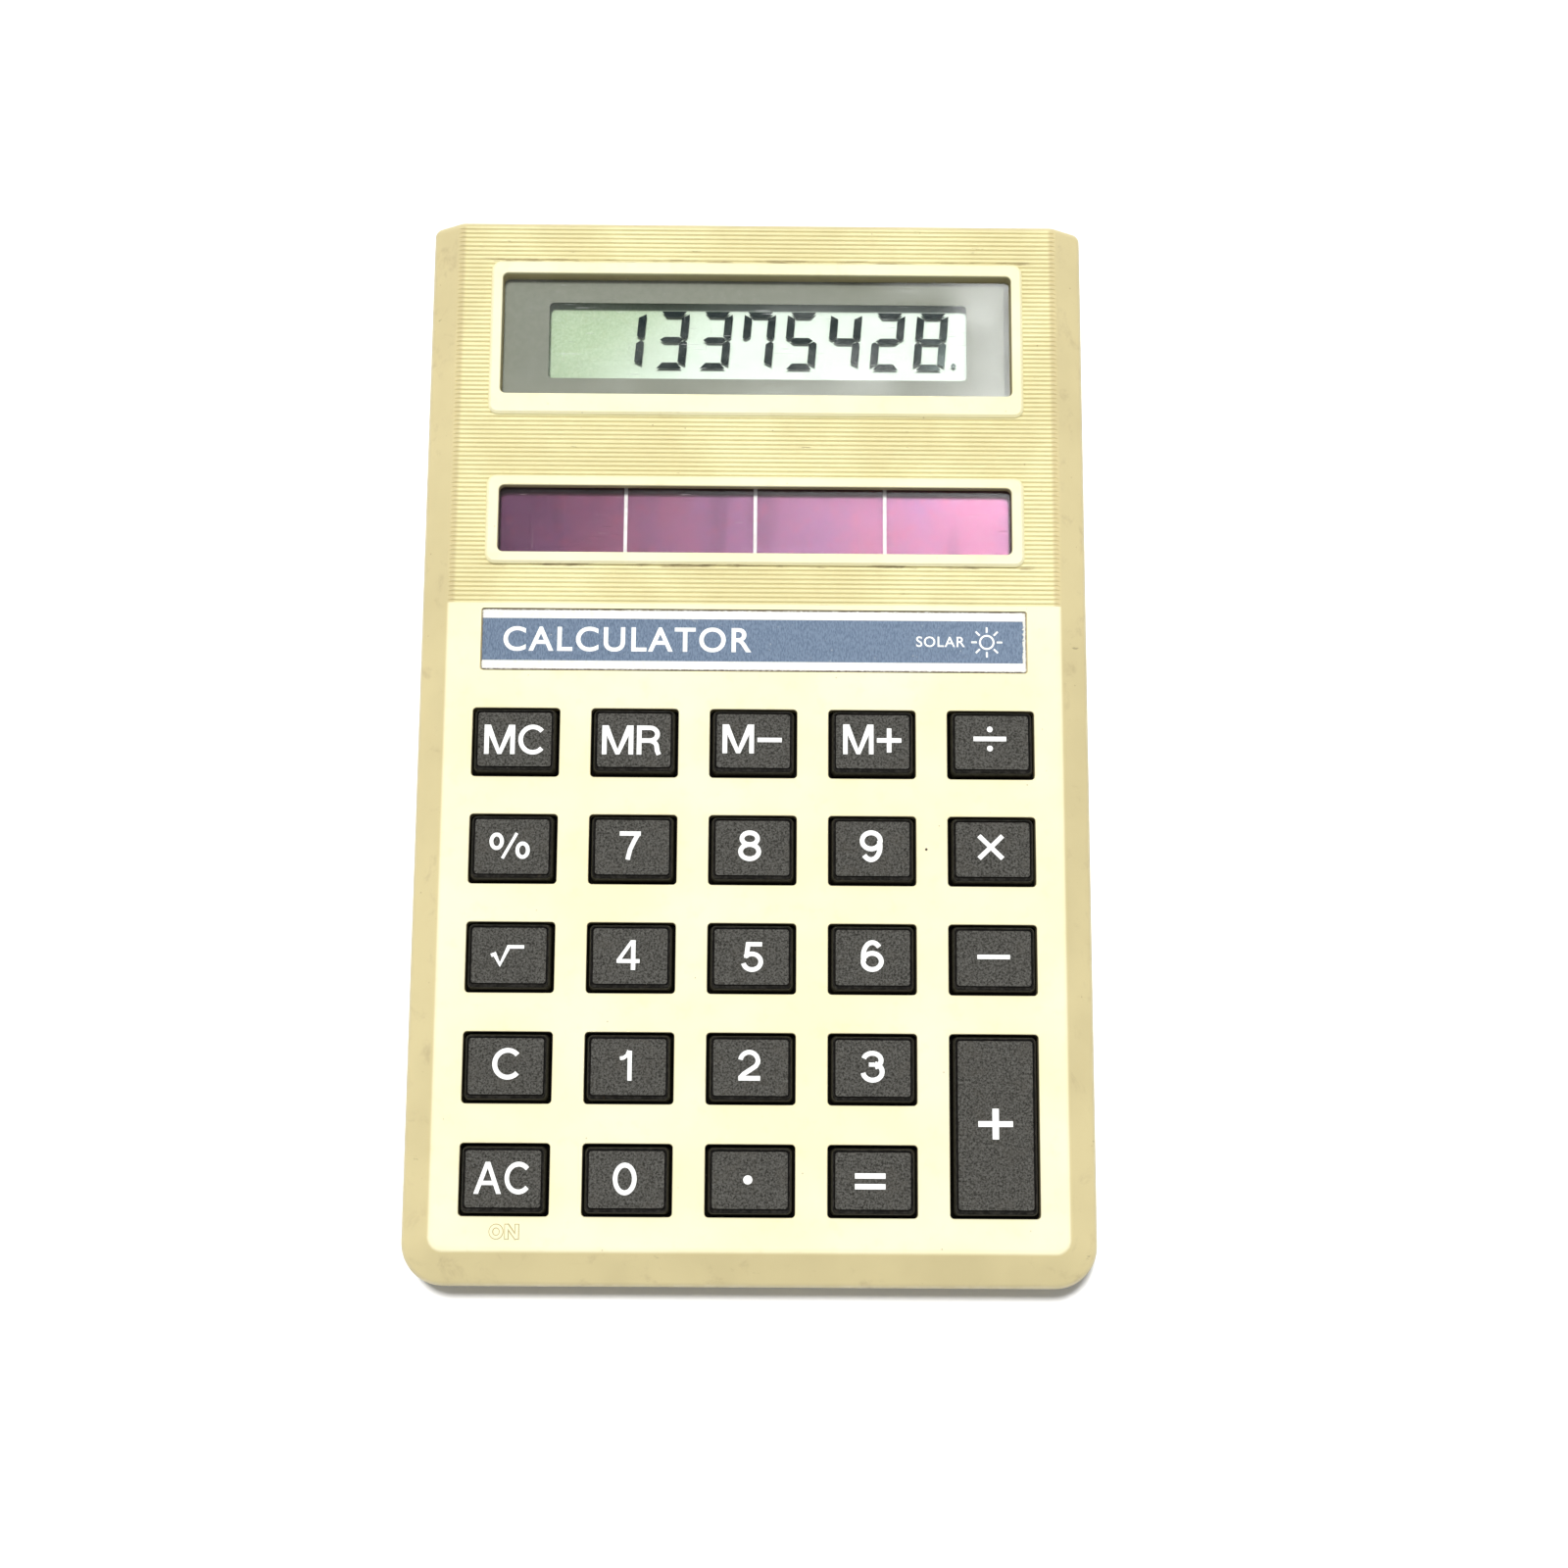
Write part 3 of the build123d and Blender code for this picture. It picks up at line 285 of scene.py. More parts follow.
    # Fine hairline scratches.
    hair = p.noise(1.0, 2, 0.5, p.stretched(0.12, 9, 1, turn=32))
    scratch = p.times(p.step(hair, 0.735, 0.76), p.step(blotch, 0.45, 0.6))
    color = p.mix(p.times(scratch, 0.30), color, (0.48, 0.38, 0.22))
    rough = p.math("ADD", p.step(blotch, 0.3, 0.7, 0.42, 0.58), p.times(scratch, 0.15))
    grain = p.bump(fine, 0.012 * MM, 0.6)
    normal = p.bump(blotch, 0.02 * MM, 0.5, under=grain)
    return p.finish(color=color, rough=rough, normal=normal, specular=0.42)


def key_paint(name):
    """Dark grey keys: sides painted nearly black as shade, a rim lightened by wear and painted highlight,
    and a mottled matte face.
    """
    p = Paint(name)
    face = p.band(p.z, *KEY_FACE_Z, 0.006)
    worn_lit_rim = p.step(p.z, *KEY_RIM_Z)
    grain = p.noise(4.5, 4, 0.8)
    mottle = p.noise(2.2, 4, 0.7)
    cloud = p.noise(0.5, 3, 0.6)
    face_color = p.mix(p.step(grain, 0.36, 0.64), (0.018, 0.017, 0.014), (0.110, 0.107, 0.097))
    face_color = p.mix(p.times(p.step(mottle, 0.45, 0.7), 0.35), face_color, (0.082, 0.080, 0.070))
    face_color = p.mix(p.times(p.step(cloud, 0.5, 0.7), 0.3), face_color, (0.075, 0.069, 0.058))
    # The sides are painted nearly black as shade; only the face gets the grey of the plastic.
    color = p.mix(face, (0.0035, 0.003, 0.0025), face_color)
    # The rim is lightened in patches, part wear and part painted highlight.
    color = p.mix(p.times(worn_lit_rim, p.step(mottle, 0.40, 0.70, 0.04, 0.30)), color, (0.085, 0.080, 0.070))
    # Brownish dust low on the sides, pale lint specks on top.
    dust = p.times(p.step(p.noise(1.6, 5, 0.7), 0.58, 0.75), p.flip(face))
    color = p.mix(p.times(dust, 0.35), color, (0.045, 0.030, 0.014))
    color = p.mix(p.times(p.specks(1.6, 0.07), 0.5), color, (0.26, 0.24, 0.20))
    rough = p.step(mottle, 0.3, 0.7, 0.50, 0.68)
    normal = p.bump(grain, 0.02 * MM, 0.8)
    return p.finish(color=color, rough=rough, normal=normal, specular=0.12)


GRAIN_DEEP = 0.01       # depth of a plain material's texture, mm


def plain_paint(name, light, dark, rough=(0.4, 0.6), metal=0.0, scale=2.0):
    """A simple worn material: two tones, uneven roughness and a little texture."""
    p = Paint(name)
    tone = p.noise(scale, 4, 0.6)
    color = p.mix(p.step(tone, 0.3, 0.7), dark, light)
    color = p.mix(p.times(p.specks(scale * 2, 0.08), 0.4), color, tuple(0.5 * c for c in dark))
    normal = p.bump(p.noise(scale * 5, 3, 0.6), GRAIN_DEEP * MM, 0.7)
    return p.finish(color=color, rough=p.step(tone, 0.3, 0.7, *rough), metal=metal, normal=normal,
                    specular=0.5)


def print_paint(name, ink, worn, wear):
    """Printed ink with small worn spots and a soft unevenness."""
    p = Paint(name)
    patch = p.noise(4.0, 4, 0.65)
    color = p.mix(p.times(p.step(patch, 0.58, 0.72), wear), ink, worn)
    normal = p.bump(p.noise(12.0, 2, 0.5), 0.006 * MM, 0.6)
    return p.finish(color=color, rough=p.step(patch, 0.3, 0.7, 0.45, 0.6), normal=normal)


WHITE = (1.0, 1.0, 1.0)
HAZE = 0.02             # the most that haze covers of a clear sheet


def clear_paint(name, tint, ior, gloss_rough, haze_color, scratches=True):
    """A clear sheet: lets light straight through, reflects by angle, with haze, dust and scratches on it."""
    p = Paint(name)
    outside = p.flip(p.add("ShaderNodeNewGeometry").outputs["Backfacing"])
    # Only a sheet's outer side reflects. Seen from within, Fresnel would mirror everything at low angles.
    fresnel = p.times(p.add("ShaderNodeFresnel", {"IOR": ior}).outputs[0], outside)
    smear = p.noise(0.12, 4, 0.6, p.stretched(1.0, 2.5, 1, turn=12))
    rough = p.step(smear, 0.4, 0.65, gloss_rough, gloss_rough * 2)
    wave = p.bump(p.noise(0.07, 2, 0.5), 0.01 * MM, 0.5)
    gloss = p.add("ShaderNodeBsdfGlossy", {"Color": WHITE, "Roughness": rough, "Normal": wave}).outputs[0]
    clear = p.add("ShaderNodeBsdfTransparent", {"Color": tint}).outputs[0]
    base = p.add("ShaderNodeMixShader", {0: fresnel, 1: clear, 2: gloss}).outputs[0]
    marks = p.times(p.specks(1.4, 0.05), 0.5)
    if scratches:
        fine = p.noise(1.0, 2, 0.5, p.stretched(0.22, 7, 1, turn=-52))
        where = p.step(p.noise(0.2, 2, 0.5), 0.5, 0.62)
        marks = p.most(marks, p.times(p.times(p.step(fine, 0.70, 0.74), where), 0.55))
        wide = p.noise(1.0, 2, 0.5, p.stretched(6, 0.15, 1, turn=-38, shift=(3, 1, 0)))
        marks = p.most(marks, p.times(p.step(wide, 0.745, 0.765), 0.3))
    fog = p.times(p.step(smear, 0.35, 0.75), HAZE)
    cover = p.math("ADD", fog, marks, clamp=True)
    film = p.add("ShaderNodeBsdfDiffuse", {"Color": haze_color}).outputs[0]
    return p.shade(p.add("ShaderNodeMixShader", {0: cover, 1: base, 2: film}).outputs[0])


CASE = case_paint("cream_case")
KEY = key_paint("dark_key")
LEGEND = print_paint("white_legend", (0.92, 0.92, 0.90), (0.45, 0.44, 0.41), 0.25)

dress("front_case", CASE)
dress("rear_case", CASE)
for key in KEYS:
    dress(key, KEY)

# ============================================================ display and solar panel
dress("display_window", clear_paint(
    "window_acrylic", tint=(0.98, 0.99, 0.98), ior=1.49, gloss_rough=0.045, haze_color=(0.85, 0.87, 0.86)))
dress("window_mask",
      plain_paint("mask_print", (0.222, 0.226, 0.188), (0.198, 0.204, 0.166), (0.4, 0.5), scale=1.5))


def reflector_paint(name):
    """The ground behind the segments: pearly grey-green, with a painted reflection that pales it towards its
    right half, finely grained.
    """
    p = Paint(name)
    grain = p.noise(3.5, 4, 0.8)
    weave = p.noise(1.4, 3, 0.6)
    reflector_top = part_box("display_reflector")[1].y / MM
    green = p.mix(p.step(grain, 0.3, 0.7), (0.41, 0.50, 0.34), (0.56, 0.63, 0.50))
    green = p.mix(p.times(p.step(weave, 0.45, 0.7), 0.25), green, (0.50, 0.53, 0.36))
    # The pale colour is a painted reflection of bright light overhead, sweeping across the right half.
    pale = p.mix(p.step(grain, 0.3, 0.7), (0.84, 0.88, 0.86), (0.90, 0.93, 0.91))
    reflection_sweep = p.math("ADD", p.x, p.times(p.y, -0.9))
    color = p.mix(p.step(reflection_sweep, -60.0, -41.0), green, pale)
    # Painted shadow under the mask's top edge darkens the top of the reflector, together with the dark seal
    # along its top edge.
    seal_and_shadow = p.step(p.y, reflector_top - 1.9, reflector_top - 0.95, 0.0, 0.93)
    color = p.mix(seal_and_shadow, color, (0.02, 0.03, 0.03))
    return p.finish(color=color, rough=p.step(grain, 0.3, 0.7, 0.35, 0.5),
                    normal=p.bump(grain, 0.01 * MM, 0.7), specular=0.5)


dress("display_reflector", reflector_paint("display_ground"))
dress("solar_glass", clear_paint(
    "solar_cover_glass", tint=(0.98, 0.98, 0.99), ior=1.5, gloss_rough=0.07, haze_color=(0.7, 0.55, 0.6)))
dress("solar_backing", plain_paint("white_coat", (0.85, 0.84, 0.80), (0.70, 0.68, 0.62)))

STAIN_Y = (21.5, 19.6)      # the solar cells' foot, mm


def cell_paint(name):
    """Thin-film cell: dark purple that mirrors pink."""
    p = Paint(name)
    cloud = p.noise(0.12, 3, 0.6, p.stretched(1, 0.6, 1))
    tone = p.mix(p.step(cloud, 0.35, 0.65), (0.30, 0.105, 0.185), (0.255, 0.105, 0.205))
    grain = p.noise(5.0, 3, 0.6)
    tone = p.mix(p.times(p.step(grain, 0.5, 0.7), 0.3), tone, (0.34, 0.13, 0.20))
    slanting = p.noise(0.22, 3, 0.55, p.stretched(1.0, 0.25, 1, turn=-24))
    tone = p.mix(p.times(p.step(slanting, 0.50, 0.66), 0.5), tone, (0.17, 0.062, 0.125))
    rosy = p.step(p.noise(0.9, 4, 0.65), 0.50, 0.72)
    tone = p.mix(p.times(rosy, 0.35), tone, (0.40, 0.11, 0.17))
    # Brown stains along the foot.
    stain = p.times(p.step(p.noise(0.7, 5, 0.7), 0.62, 0.72), p.step(p.y, *STAIN_Y))
    tone = p.mix(p.times(stain, 0.6), tone, (0.10, 0.05, 0.02))
    return p.finish(color=tone, metal=0.9, rough=p.step(grain, 0.3, 0.7, 0.12, 0.20),
                    normal=p.bump(p.noise(0.1, 2, 0.5), 0.02 * MM, 0.4))


dress("solar_cells", cell_paint("cell_film"))

# The display cell: one clear block of film and glass over the reflector.
SKIN_GAP = 0.02 * MM       # keeps the block's faces off those of the CAD parts it replaces
cell_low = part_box("display_rear_glass")[0]
film_low, film_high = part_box("display_front_polariser")
builder = bmesh.new()
bmesh.ops.create_cube(builder, size=1.0)
mesh = bpy.data.meshes.new("display_cell")
builder.to_mesh(mesh)
builder.free()
center = Vector((
    (film_low.x + film_high.x) / 2, (film_low.y + film_high.y) / 2, (cell_low.z + film_high.z) / 2,
))
extent = Vector((film_high.x - film_low.x, film_high.y - film_low.y, film_high.z - cell_low.z - SKIN_GAP))
mesh.transform(Matrix.Translation(center) @ Matrix.Diagonal((*extent, 1)))
display_cell = bpy.data.objects.new("display_cell", mesh)
bpy.context.scene.collection.objects.link(display_cell)
# The index is low so that the film barely reflects under its window.
mesh.materials.append(clear_paint(
    "polariser_film", tint=(0.97, 0.985, 0.965), ior=1.15, gloss_rough=0.2, haze_color=(0.6, 0.66, 0.56),
    scratches=False,
))
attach(display_cell, "case")
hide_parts("display_front_polariser", "display_front_glass", "display_rear_glass")

# Liquid-crystal digits. Sizes in millimetres.
DIGIT_WIDTH = 3.45
DIGIT_HEIGHT = 6.6
DIGIT_PITCH = 4.74
DIGIT_SLANT = 0.085
LAST_DIGIT_X = 19.1
DIGIT_FOOT_Y = 41.3
UPRIGHT = 0.84          # width of the upright segments
CROSSWISE = 0.68        # width of the level ones
GAP = 0.09              # between a segment and its neighbours
BLUNT = 0.25            # cut off at the digit's corners
POINT_SIZE = 0.33
POINT_GAP = 0.75        # from the last digit to the middle of the point
POINT_RISE = 0.55
# The segments that each digit shows.
SHOWN = {
    "1": "bc", "2": "abged", "3": "abgcd", "4": "fgbc", "5": "afgcd", "7": "fabc", "8": "abcdefg",
}
NUMBER = "13375428"


def segment_faces():
    """The seven segments of a digit, unslanted, keyed by their usual letters."""
    w, h, u, c, g = DIGIT_WIDTH, DIGIT_HEIGHT, UPRIGHT, CROSSWISE, GAP
    mid = h / 2
    upright_low = [
        (w - u, c + g), (w, BLUNT + g), (w, mid - g - 0.22), (w - u * 0.4, mid - g * 0.8),
        (w - u, mid - c / 2 - g),
    ]
    top = [(BLUNT + g, h), (w - BLUNT - g, h), (w - u - g, h - c), (u + g, h - c)]
    middle = [
        (u * 0.4 + g, mid), (u + g, mid + c / 2), (w - u - g, mid + c / 2), (w - u * 0.4 - g, mid),
        (w - u - g, mid - c / 2), (u + g, mid - c / 2),
    ]

    def mirrored_x(points):
        return [(w - x, y) for x, y in points]

    def mirrored_y(points):
        return [(x, h - y) for x, y in points]

    return {
        "a": top, "d": mirrored_y(top), "g": middle,
        "c": upright_low, "e": mirrored_x(upright_low),
        "b": mirrored_y(upright_low), "f": mirrored_x(mirrored_y(upright_low)),
    }


FADE_X = (16.5, 21.5)      # the last digit fades to the right
FADE_Y = (46.5, 41.5)      # and downwards


def liquid_paint(name):
    """Dark slate segments, fading a little towards the right end and seen through grainy film."""
    p = Paint(name)
    fade = p.step(p.x, *FADE_X, 0.0, 0.75)
    fade = p.times(fade, p.step(p.y, *FADE_Y))
    grain = p.noise(6.0, 3, 0.6)
    color = p.mix(p.step(grain, 0.3, 0.7), (0.006, 0.012, 0.013), (0.014, 0.022, 0.024))
    color = p.mix(fade, color, (0.20, 0.25, 0.25))
    return p.finish(color=color, rough=p.step(grain, 0.3, 0.7, 0.4, 0.55),
                    normal=p.bump(grain, 0.006 * MM, 0.5), specular=0.2)


segments = segment_faces()
digit_faces = []
for place, digit in enumerate(NUMBER):
    middle_x = LAST_DIGIT_X - DIGIT_PITCH * (len(NUMBER) - 1 - place)
    for letter in SHOWN[digit]:
        digit_faces.append([
            (middle_x - DIGIT_WIDTH / 2 + x + DIGIT_SLANT * (y - DIGIT_HEIGHT / 2), DIGIT_FOOT_Y + y)
            for x, y in segments[letter]
        ])
point_x = LAST_DIGIT_X + DIGIT_WIDTH / 2 + POINT_GAP
point_y = DIGIT_FOOT_Y + POINT_RISE
digit_faces.append([
    (point_x - POINT_SIZE, point_y), (point_x, point_y + POINT_SIZE), (point_x + POINT_SIZE, point_y),
    (point_x, point_y - POINT_SIZE),
])
segment_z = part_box("display_rear_glass")[1].z      # the liquid lies between the two glasses
flat_mesh("display_digits", digit_faces, segment_z, liquid_paint("liquid_crystal"), "case")

# ============================================================ key legends
H = 3.27         # height of the capitals, mm
S = 0.50         # width of a stroke, mm
HALF = S / 2
MITRE_LIMIT = 0.3   # keeps a mitre from running out far at a tight turn


def ribbon(points, width=S, closed=False):
    """Quads along a centreline, with mitred joins. Repeated points are dropped."""
    points = [
        here for here, last in zip(points, [None] + points[:-1])
        if last is None or math.dist(here, last) > 1e-6
    ]
    count = len(points)
    sides = []
    for i, (x, y) in enumerate(points):
        before = points[i - 1] if (i > 0 or closed) else None
        after = points[(i + 1) % count] if (i < count - 1 or closed) else None
        normals = []
        for a, b in ((before, (x, y)), ((x, y), after)):
            if a is None or b is None:
                continue
            dx, dy = b[0] - a[0], b[1] - a[1]
            length = math.hypot(dx, dy)
            normals.append((-dy / length, dx / length))
        nx = sum(n[0] for n in normals) / len(normals)
        ny = sum(n[1] for n in normals) / len(normals)
        size = nx * nx + ny * ny
        reach = width / 2 / max(size, MITRE_LIMIT)
        sides.append(((x + nx * reach, y + ny * reach), (x - nx * reach, y - ny * reach)))
    faces = []
    for i in range(count if closed else count - 1):
        a, b = sides[i], sides[(i + 1) % count]
        faces.append([a[0], b[0], b[1], a[1]])
    return faces


def arc(cx, cy, rx, ry, start, end, steps=28):
    """Points on an ellipse from one angle to another, in degrees."""
    return [
        (cx + rx * math.cos(math.radians(start + (end - start) * i / steps)),
         cy + ry * math.sin(math.radians(start + (end - start) * i / steps)))
        for i in range(steps + 1)
    ]


def disc(cx, cy, radius):
    """A filled circle."""
    return [arc(cx, cy, radius, radius, 0, 360, 24)[:-1]]


def bar(x0, y0, x1, y1):
    """A filled rectangle between two corners."""
    return [[(x0, y0), (x1, y0), (x1, y1), (x0, y1)]]


# Each glyph is its polygons, in mm from its bottom left corner, and its width.
def glyph_m():
    w = 3.3
    left = [[(0, H), (S * 1.35, H), (w / 2 + S * 0.42, 0), (w / 2 - S * 0.42, 0)]]
    right = [[(w - x, y) for x, y in left[0]]]
    return bar(0, 0, S, H) + bar(w - S, 0, w, H) + left + right, w


def glyph_c():
    w = 2.95
    r = w * 0.53
    return ribbon(arc(r, H / 2, r - HALF, H / 2 - HALF + 0.03, 42, 318, 40)), w


def glyph_r():
    w = 2.6
    bowl = [(HALF, H - HALF), (1.35, H - HALF)]
    bowl += arc(1.35, H - HALF - 0.72, 0.82, 0.72, 90, -90, 16) + [(HALF, H - HALF - 1.44)]
    leg = arc(1.25, H - HALF - 2.14, 0.85, 0.70, 85, 5, 8) + [(2.16, 0.42), (2.34, 0)]
    return bar(0, 0, S, H) + ribbon(bowl) + ribbon(leg), w


def glyph_a():
    w = 3.1
    left = [[(0, 0), (S * 1.07, 0), (w / 2 + S * 0.5, H), (w / 2 - S * 0.53, H)]]
    right = [[(w - x, y) for x, y in left[0]]]
    return left + right + bar(0.72, 0.90, w - 0.72, 0.90 + S * 0.88), w


def glyph_0():
    w = 2.55
    return ribbon(arc(w / 2, H / 2, w / 2 - HALF, H / 2 - HALF, 0, 354, 48), closed=True), w


def glyph_1():
    w = 1.45
    flag = [(0.05, H * 0.745), (0.45, H * 0.76), (0.86, H * 0.84), (w - HALF - 0.1, H)]
    return bar(w - S, 0, w, H) + ribbon(flag, S * 0.82), w


def glyph_2():
    w = 2.4
    top = arc(w / 2, H - HALF - 0.93, w / 2 - HALF, 0.93, 172, -12, 22)
    curve = top + [(1.92, 1.55), (1.25, 1.10), (0.62, 0.70), (0.30, 0.34), (0.26, HALF)]
    return ribbon(curve) + bar(0.04, 0, w, S), w


def glyph_3():
    w = 2.45
    upper = arc(w / 2 - 0.03, H - HALF - 0.73, 0.90, 0.73, 165, -72, 22)
    lower = arc(w / 2, HALF + 0.86, w / 2 - HALF, 0.86, 76, -172, 26)
    return ribbon(upper) + ribbon(lower) + bar(0.85, H * 0.50, 1.45, H * 0.50 + S * 0.85), w


def glyph_4():
    w = 2.6
    stem = bar(1.62, 0, 1.62 + S, H)
    slant = [[(0, 1.12), (S * 0.55, 0.78), (1.78, H - 0.35), (1.62 + S * 0.6, H), (1.62 - S * 0.1, H)]]
    return stem + slant + bar(0, 0.76, w, 0.76 + S * 0.86), w


def glyph_5():
    w = 2.35
    bowl = arc(w / 2 - 0.03, HALF + 0.86, w / 2 - HALF, 0.86, 142, -168, 30)
    back = [[(0.30, H * 0.47), (0.30 + S * 0.9, H * 0.47), (0.52 + S, H), (0.50, H)]]
    return ribbon(bowl) + back + bar(0.52, H - S * 0.95, w - 0.15, H), w


def glyph_6():
    w = 2.4
    bowl = arc(w / 2, HALF + 0.83, w / 2 - HALF, 0.83, 0, 354, 36)
    back = arc(w / 2 + 0.02, H / 2, w / 2 - HALF, H / 2 - HALF, 42, 205, 26)
    return ribbon(bowl, closed=True) + ribbon(back), w


def turned(shape):
    """A glyph turned upside down."""
    faces, w = shape
    return [[(w - x, H - y) for x, y in face] for face in faces], w


def glyph_7():
    w = 2.35
    curve = [(w - HALF, H - HALF), (1.62, 2.15), (1.18, 1.15), (0.92, 0.0)]
    return bar(0, H - S, w, H) + ribbon(curve), w


def glyph_8():
    w = 2.45
    upper = arc(w / 2, H - HALF - 0.63, 0.84, 0.63, 0, 352, 32)
    lower = arc(w / 2, HALF + 0.76, w / 2 - HALF, 0.76, 0, 352, 32)
    return ribbon(upper, closed=True) + ribbon(lower, closed=True), w


def glyph_minus():
    w = 3.3
    return bar(0, H / 2 - HALF - 0.02, w, H / 2 + HALF - 0.02), w


def glyph_small_minus():
    w = 2.55
    return bar(0, H * 0.47 - HALF, w, H * 0.47 + HALF), w


def cross(w, middle, half):
    """An upright cross of two bars, as high as it is wide, about a height."""
    level = bar(0, middle - half, w, middle + half)
    upright = bar(w / 2 - half, middle - w / 2, w / 2 + half, middle + w / 2)
    return level + upright


def glyph_small_plus():
    w = 2.65
    return cross(w, H * 0.47, HALF), w


def glyph_plus():
    w = 3.3
    return cross(w, H / 2, S * 0.62), w


def glyph_times():
    w = 2.85
    inset = HALF * 0.7
    low, high = H / 2 - w / 2 + inset, H / 2 + w / 2 - inset
    return ribbon([(inset, low), (w - inset, high)]) + ribbon([(inset, high), (w - inset, low)]), w


def glyph_divide():
    w = 3.35
    dots = disc(w / 2, H / 2 + 0.98, 0.30) + disc(w / 2, H / 2 - 0.98, 0.30)
    return bar(0, H / 2 - HALF * 0.95, w, H / 2 + HALF * 0.95) + dots, w


def glyph_percent():
    w = 4.3
    high = 2.85
    small = S * 0.82
    rings = ribbon(arc(0.76, high - 0.95, 0.56, 0.74, 0, 350, 28), small, closed=True)
    rings += ribbon(arc(w - 0.76, 0.95, 0.56, 0.74, 0, 350, 28), small, closed=True)
    return rings + ribbon([(1.40, 0.05), (w - 1.40, high - 0.05)], small * 0.8), w


def glyph_root():
    w = 3.5
    sign = [
        (0.0, H / 2 + 0.05), (0.38, H / 2 + 0.22), (0.95, H / 2 - 1.05),
        (1.85, H / 2 + 1.10), (w, H / 2 + 1.10),
    ]
    return ribbon(sign, S * 0.85), w


def glyph_point():
    return disc(0.47, H / 2, 0.47), 0.94


def glyph_equals():
    w = 3.25
    near, far = 0.28, 0.28 + S * 1.15
    return bar(0, H / 2 + near, w, H / 2 + far) + bar(0, H / 2 - far, w, H / 2 - near), w


WORDS = {
    "key_mc": [glyph_m(), glyph_c()],
    "key_mr": [glyph_m(), glyph_r()],
    "key_m_minus": [glyph_m(), glyph_small_minus()],
    "key_m_plus": [glyph_m(), glyph_small_plus()],
    "key_divide": [glyph_divide()],
    "key_percent": [glyph_percent()],
    "key_7": [glyph_7()],
    "key_8": [glyph_8()],
    "key_9": [turned(glyph_6())],
    "key_multiply": [glyph_times()],
    "key_sqrt": [glyph_root()],
    "key_4": [glyph_4()],
    "key_5": [glyph_5()],
    "key_6": [glyph_6()],
    "key_minus": [glyph_minus()],
    "key_c": [glyph_c()],
    "key_1": [glyph_1()],
    "key_2": [glyph_2()],
    "key_3": [glyph_3()],
    "key_plus": [glyph_plus()],
    "key_ac": [glyph_a(), glyph_c()],
    "key_0": [glyph_0()],
    "key_point": [glyph_point()],
    "key_equals": [glyph_equals()],
}
LETTER_GAP = 0.36
FACE_DROP = 0.05      # the key's face lies this far under its rim, mm
INK_LIFT = 0.008      # the ink's surface above the face, mm
# Where each legend is printed, in millimetres from the middle of its key: left, right, bottom, top.
PRINT_BOXES = {
    "key_mc": (-3.17, 3.03, -1.57, 1.62),
    "key_mr": (-3.35, 2.85, -1.59, 1.61),
    "key_m_minus": (-3.23, 2.98, -1.29, 1.80),
    "key_m_plus": (-3.09, 3.02, -1.30, 1.89),
    "key_divide": (-1.91, 1.53, -0.90, 1.77),
    "key_percent": (-2.33, 1.88, -1.30, 1.52),
    "key_7": (-1.31, 0.87, -1.32, 1.71),
    "key_8": (-1.48, 0.90, -1.34, 1.90),
    "key_9": (-1.35, 1.04, -1.36, 1.99),
    "key_multiply": (-1.61, 1.19, -1.07, 1.66),
    "key_sqrt": (-1.91, 1.56, -1.17, 1.11),
    "key_4": (-1.40, 0.97, -1.39, 1.70),
    "key_5": (-1.07, 1.19, -1.51, 1.58),
    "key_6": (-1.25, 1.12, -1.43, 1.86),
    "key_minus": (-1.72, 1.66, -0.03, 0.42),
    "key_c": (-1.40, 1.34, -1.33, 1.90),
    "key_1": (-0.89, 0.35, -1.36, 1.77),
    "key_2": (-1.28, 0.97, -1.28, 1.85),
    "key_3": (-1.25, 1.19, -1.41, 1.83),
    "key_plus": (-1.78, 1.76, -1.40, 1.71),
    "key_ac": (-2.96, 2.63, -1.50, 1.77),
    "key_0": (-1.38, 1.04, -1.53, 1.74),
    "key_point": (-0.68, 0.26, -0.38, 0.54),
    "key_equals": (-1.85, 1.26, -0.80, 0.81),
}
for key, word in WORDS.items():
    pen = 0.0
    faces = []
    for shape, advance in word:
        faces += [[(pen + x, y) for x, y in face] for face in shape]
        pen += advance + LETTER_GAP
    xs = [x for face in faces for x, _ in face]
    ys = [y for face in faces for _, y in face]
    first_x, first_y = min(xs), min(ys)
    left, right, bottom, top = PRINT_BOXES[key]
    stretch_x = (right - left) / (max(xs) - first_x)
    stretch_y = (top - bottom) / (max(ys) - first_y)
    faces = [
        [(left + (x - first_x) * stretch_x, bottom + (y - first_y) * stretch_y) for x, y in face]
        for face in faces
    ]
    low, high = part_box(key)
    middle = ((low.x + high.x) / 2 / MM, (low.y + high.y) / 2 / MM)
    ink_z = high.z - (FACE_DROP - INK_LIFT) * MM
    flat_mesh("legend_" + key[4:], faces, ink_z, LEGEND, key, at=middle)

# Grime and painted shade round the foot of the raised ON under the AC key. Sizes in millimetres.
ON_FROM_KEY = (0.12, -5.21)
LETTER_STEP = 0.79      # from the middle of the word to the middle of each letter
LETTER_WIDE, LETTER_HIGH, LETTER_STROKE = 1.35, 1.42, 0.3
CREEP = 0.085           # how far the grime and painted shade reach out from the letters
OUTLINE_LIFT = 0.003
ac_low, ac_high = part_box("key_ac")
on_at = (
    (ac_low.x + ac_high.x) / 2 / MM + ON_FROM_KEY[0],
    (ac_low.y + ac_high.y) / 2 / MM + ON_FROM_KEY[1],
)
round_x = (LETTER_WIDE - LETTER_STROKE) / 2
round_y = (LETTER_HIGH - LETTER_STROKE) / 2
on_faces = ribbon(arc(-LETTER_STEP, 0, round_x, round_y, 0, 352, 44), LETTER_STROKE + 2 * CREEP, closed=True)
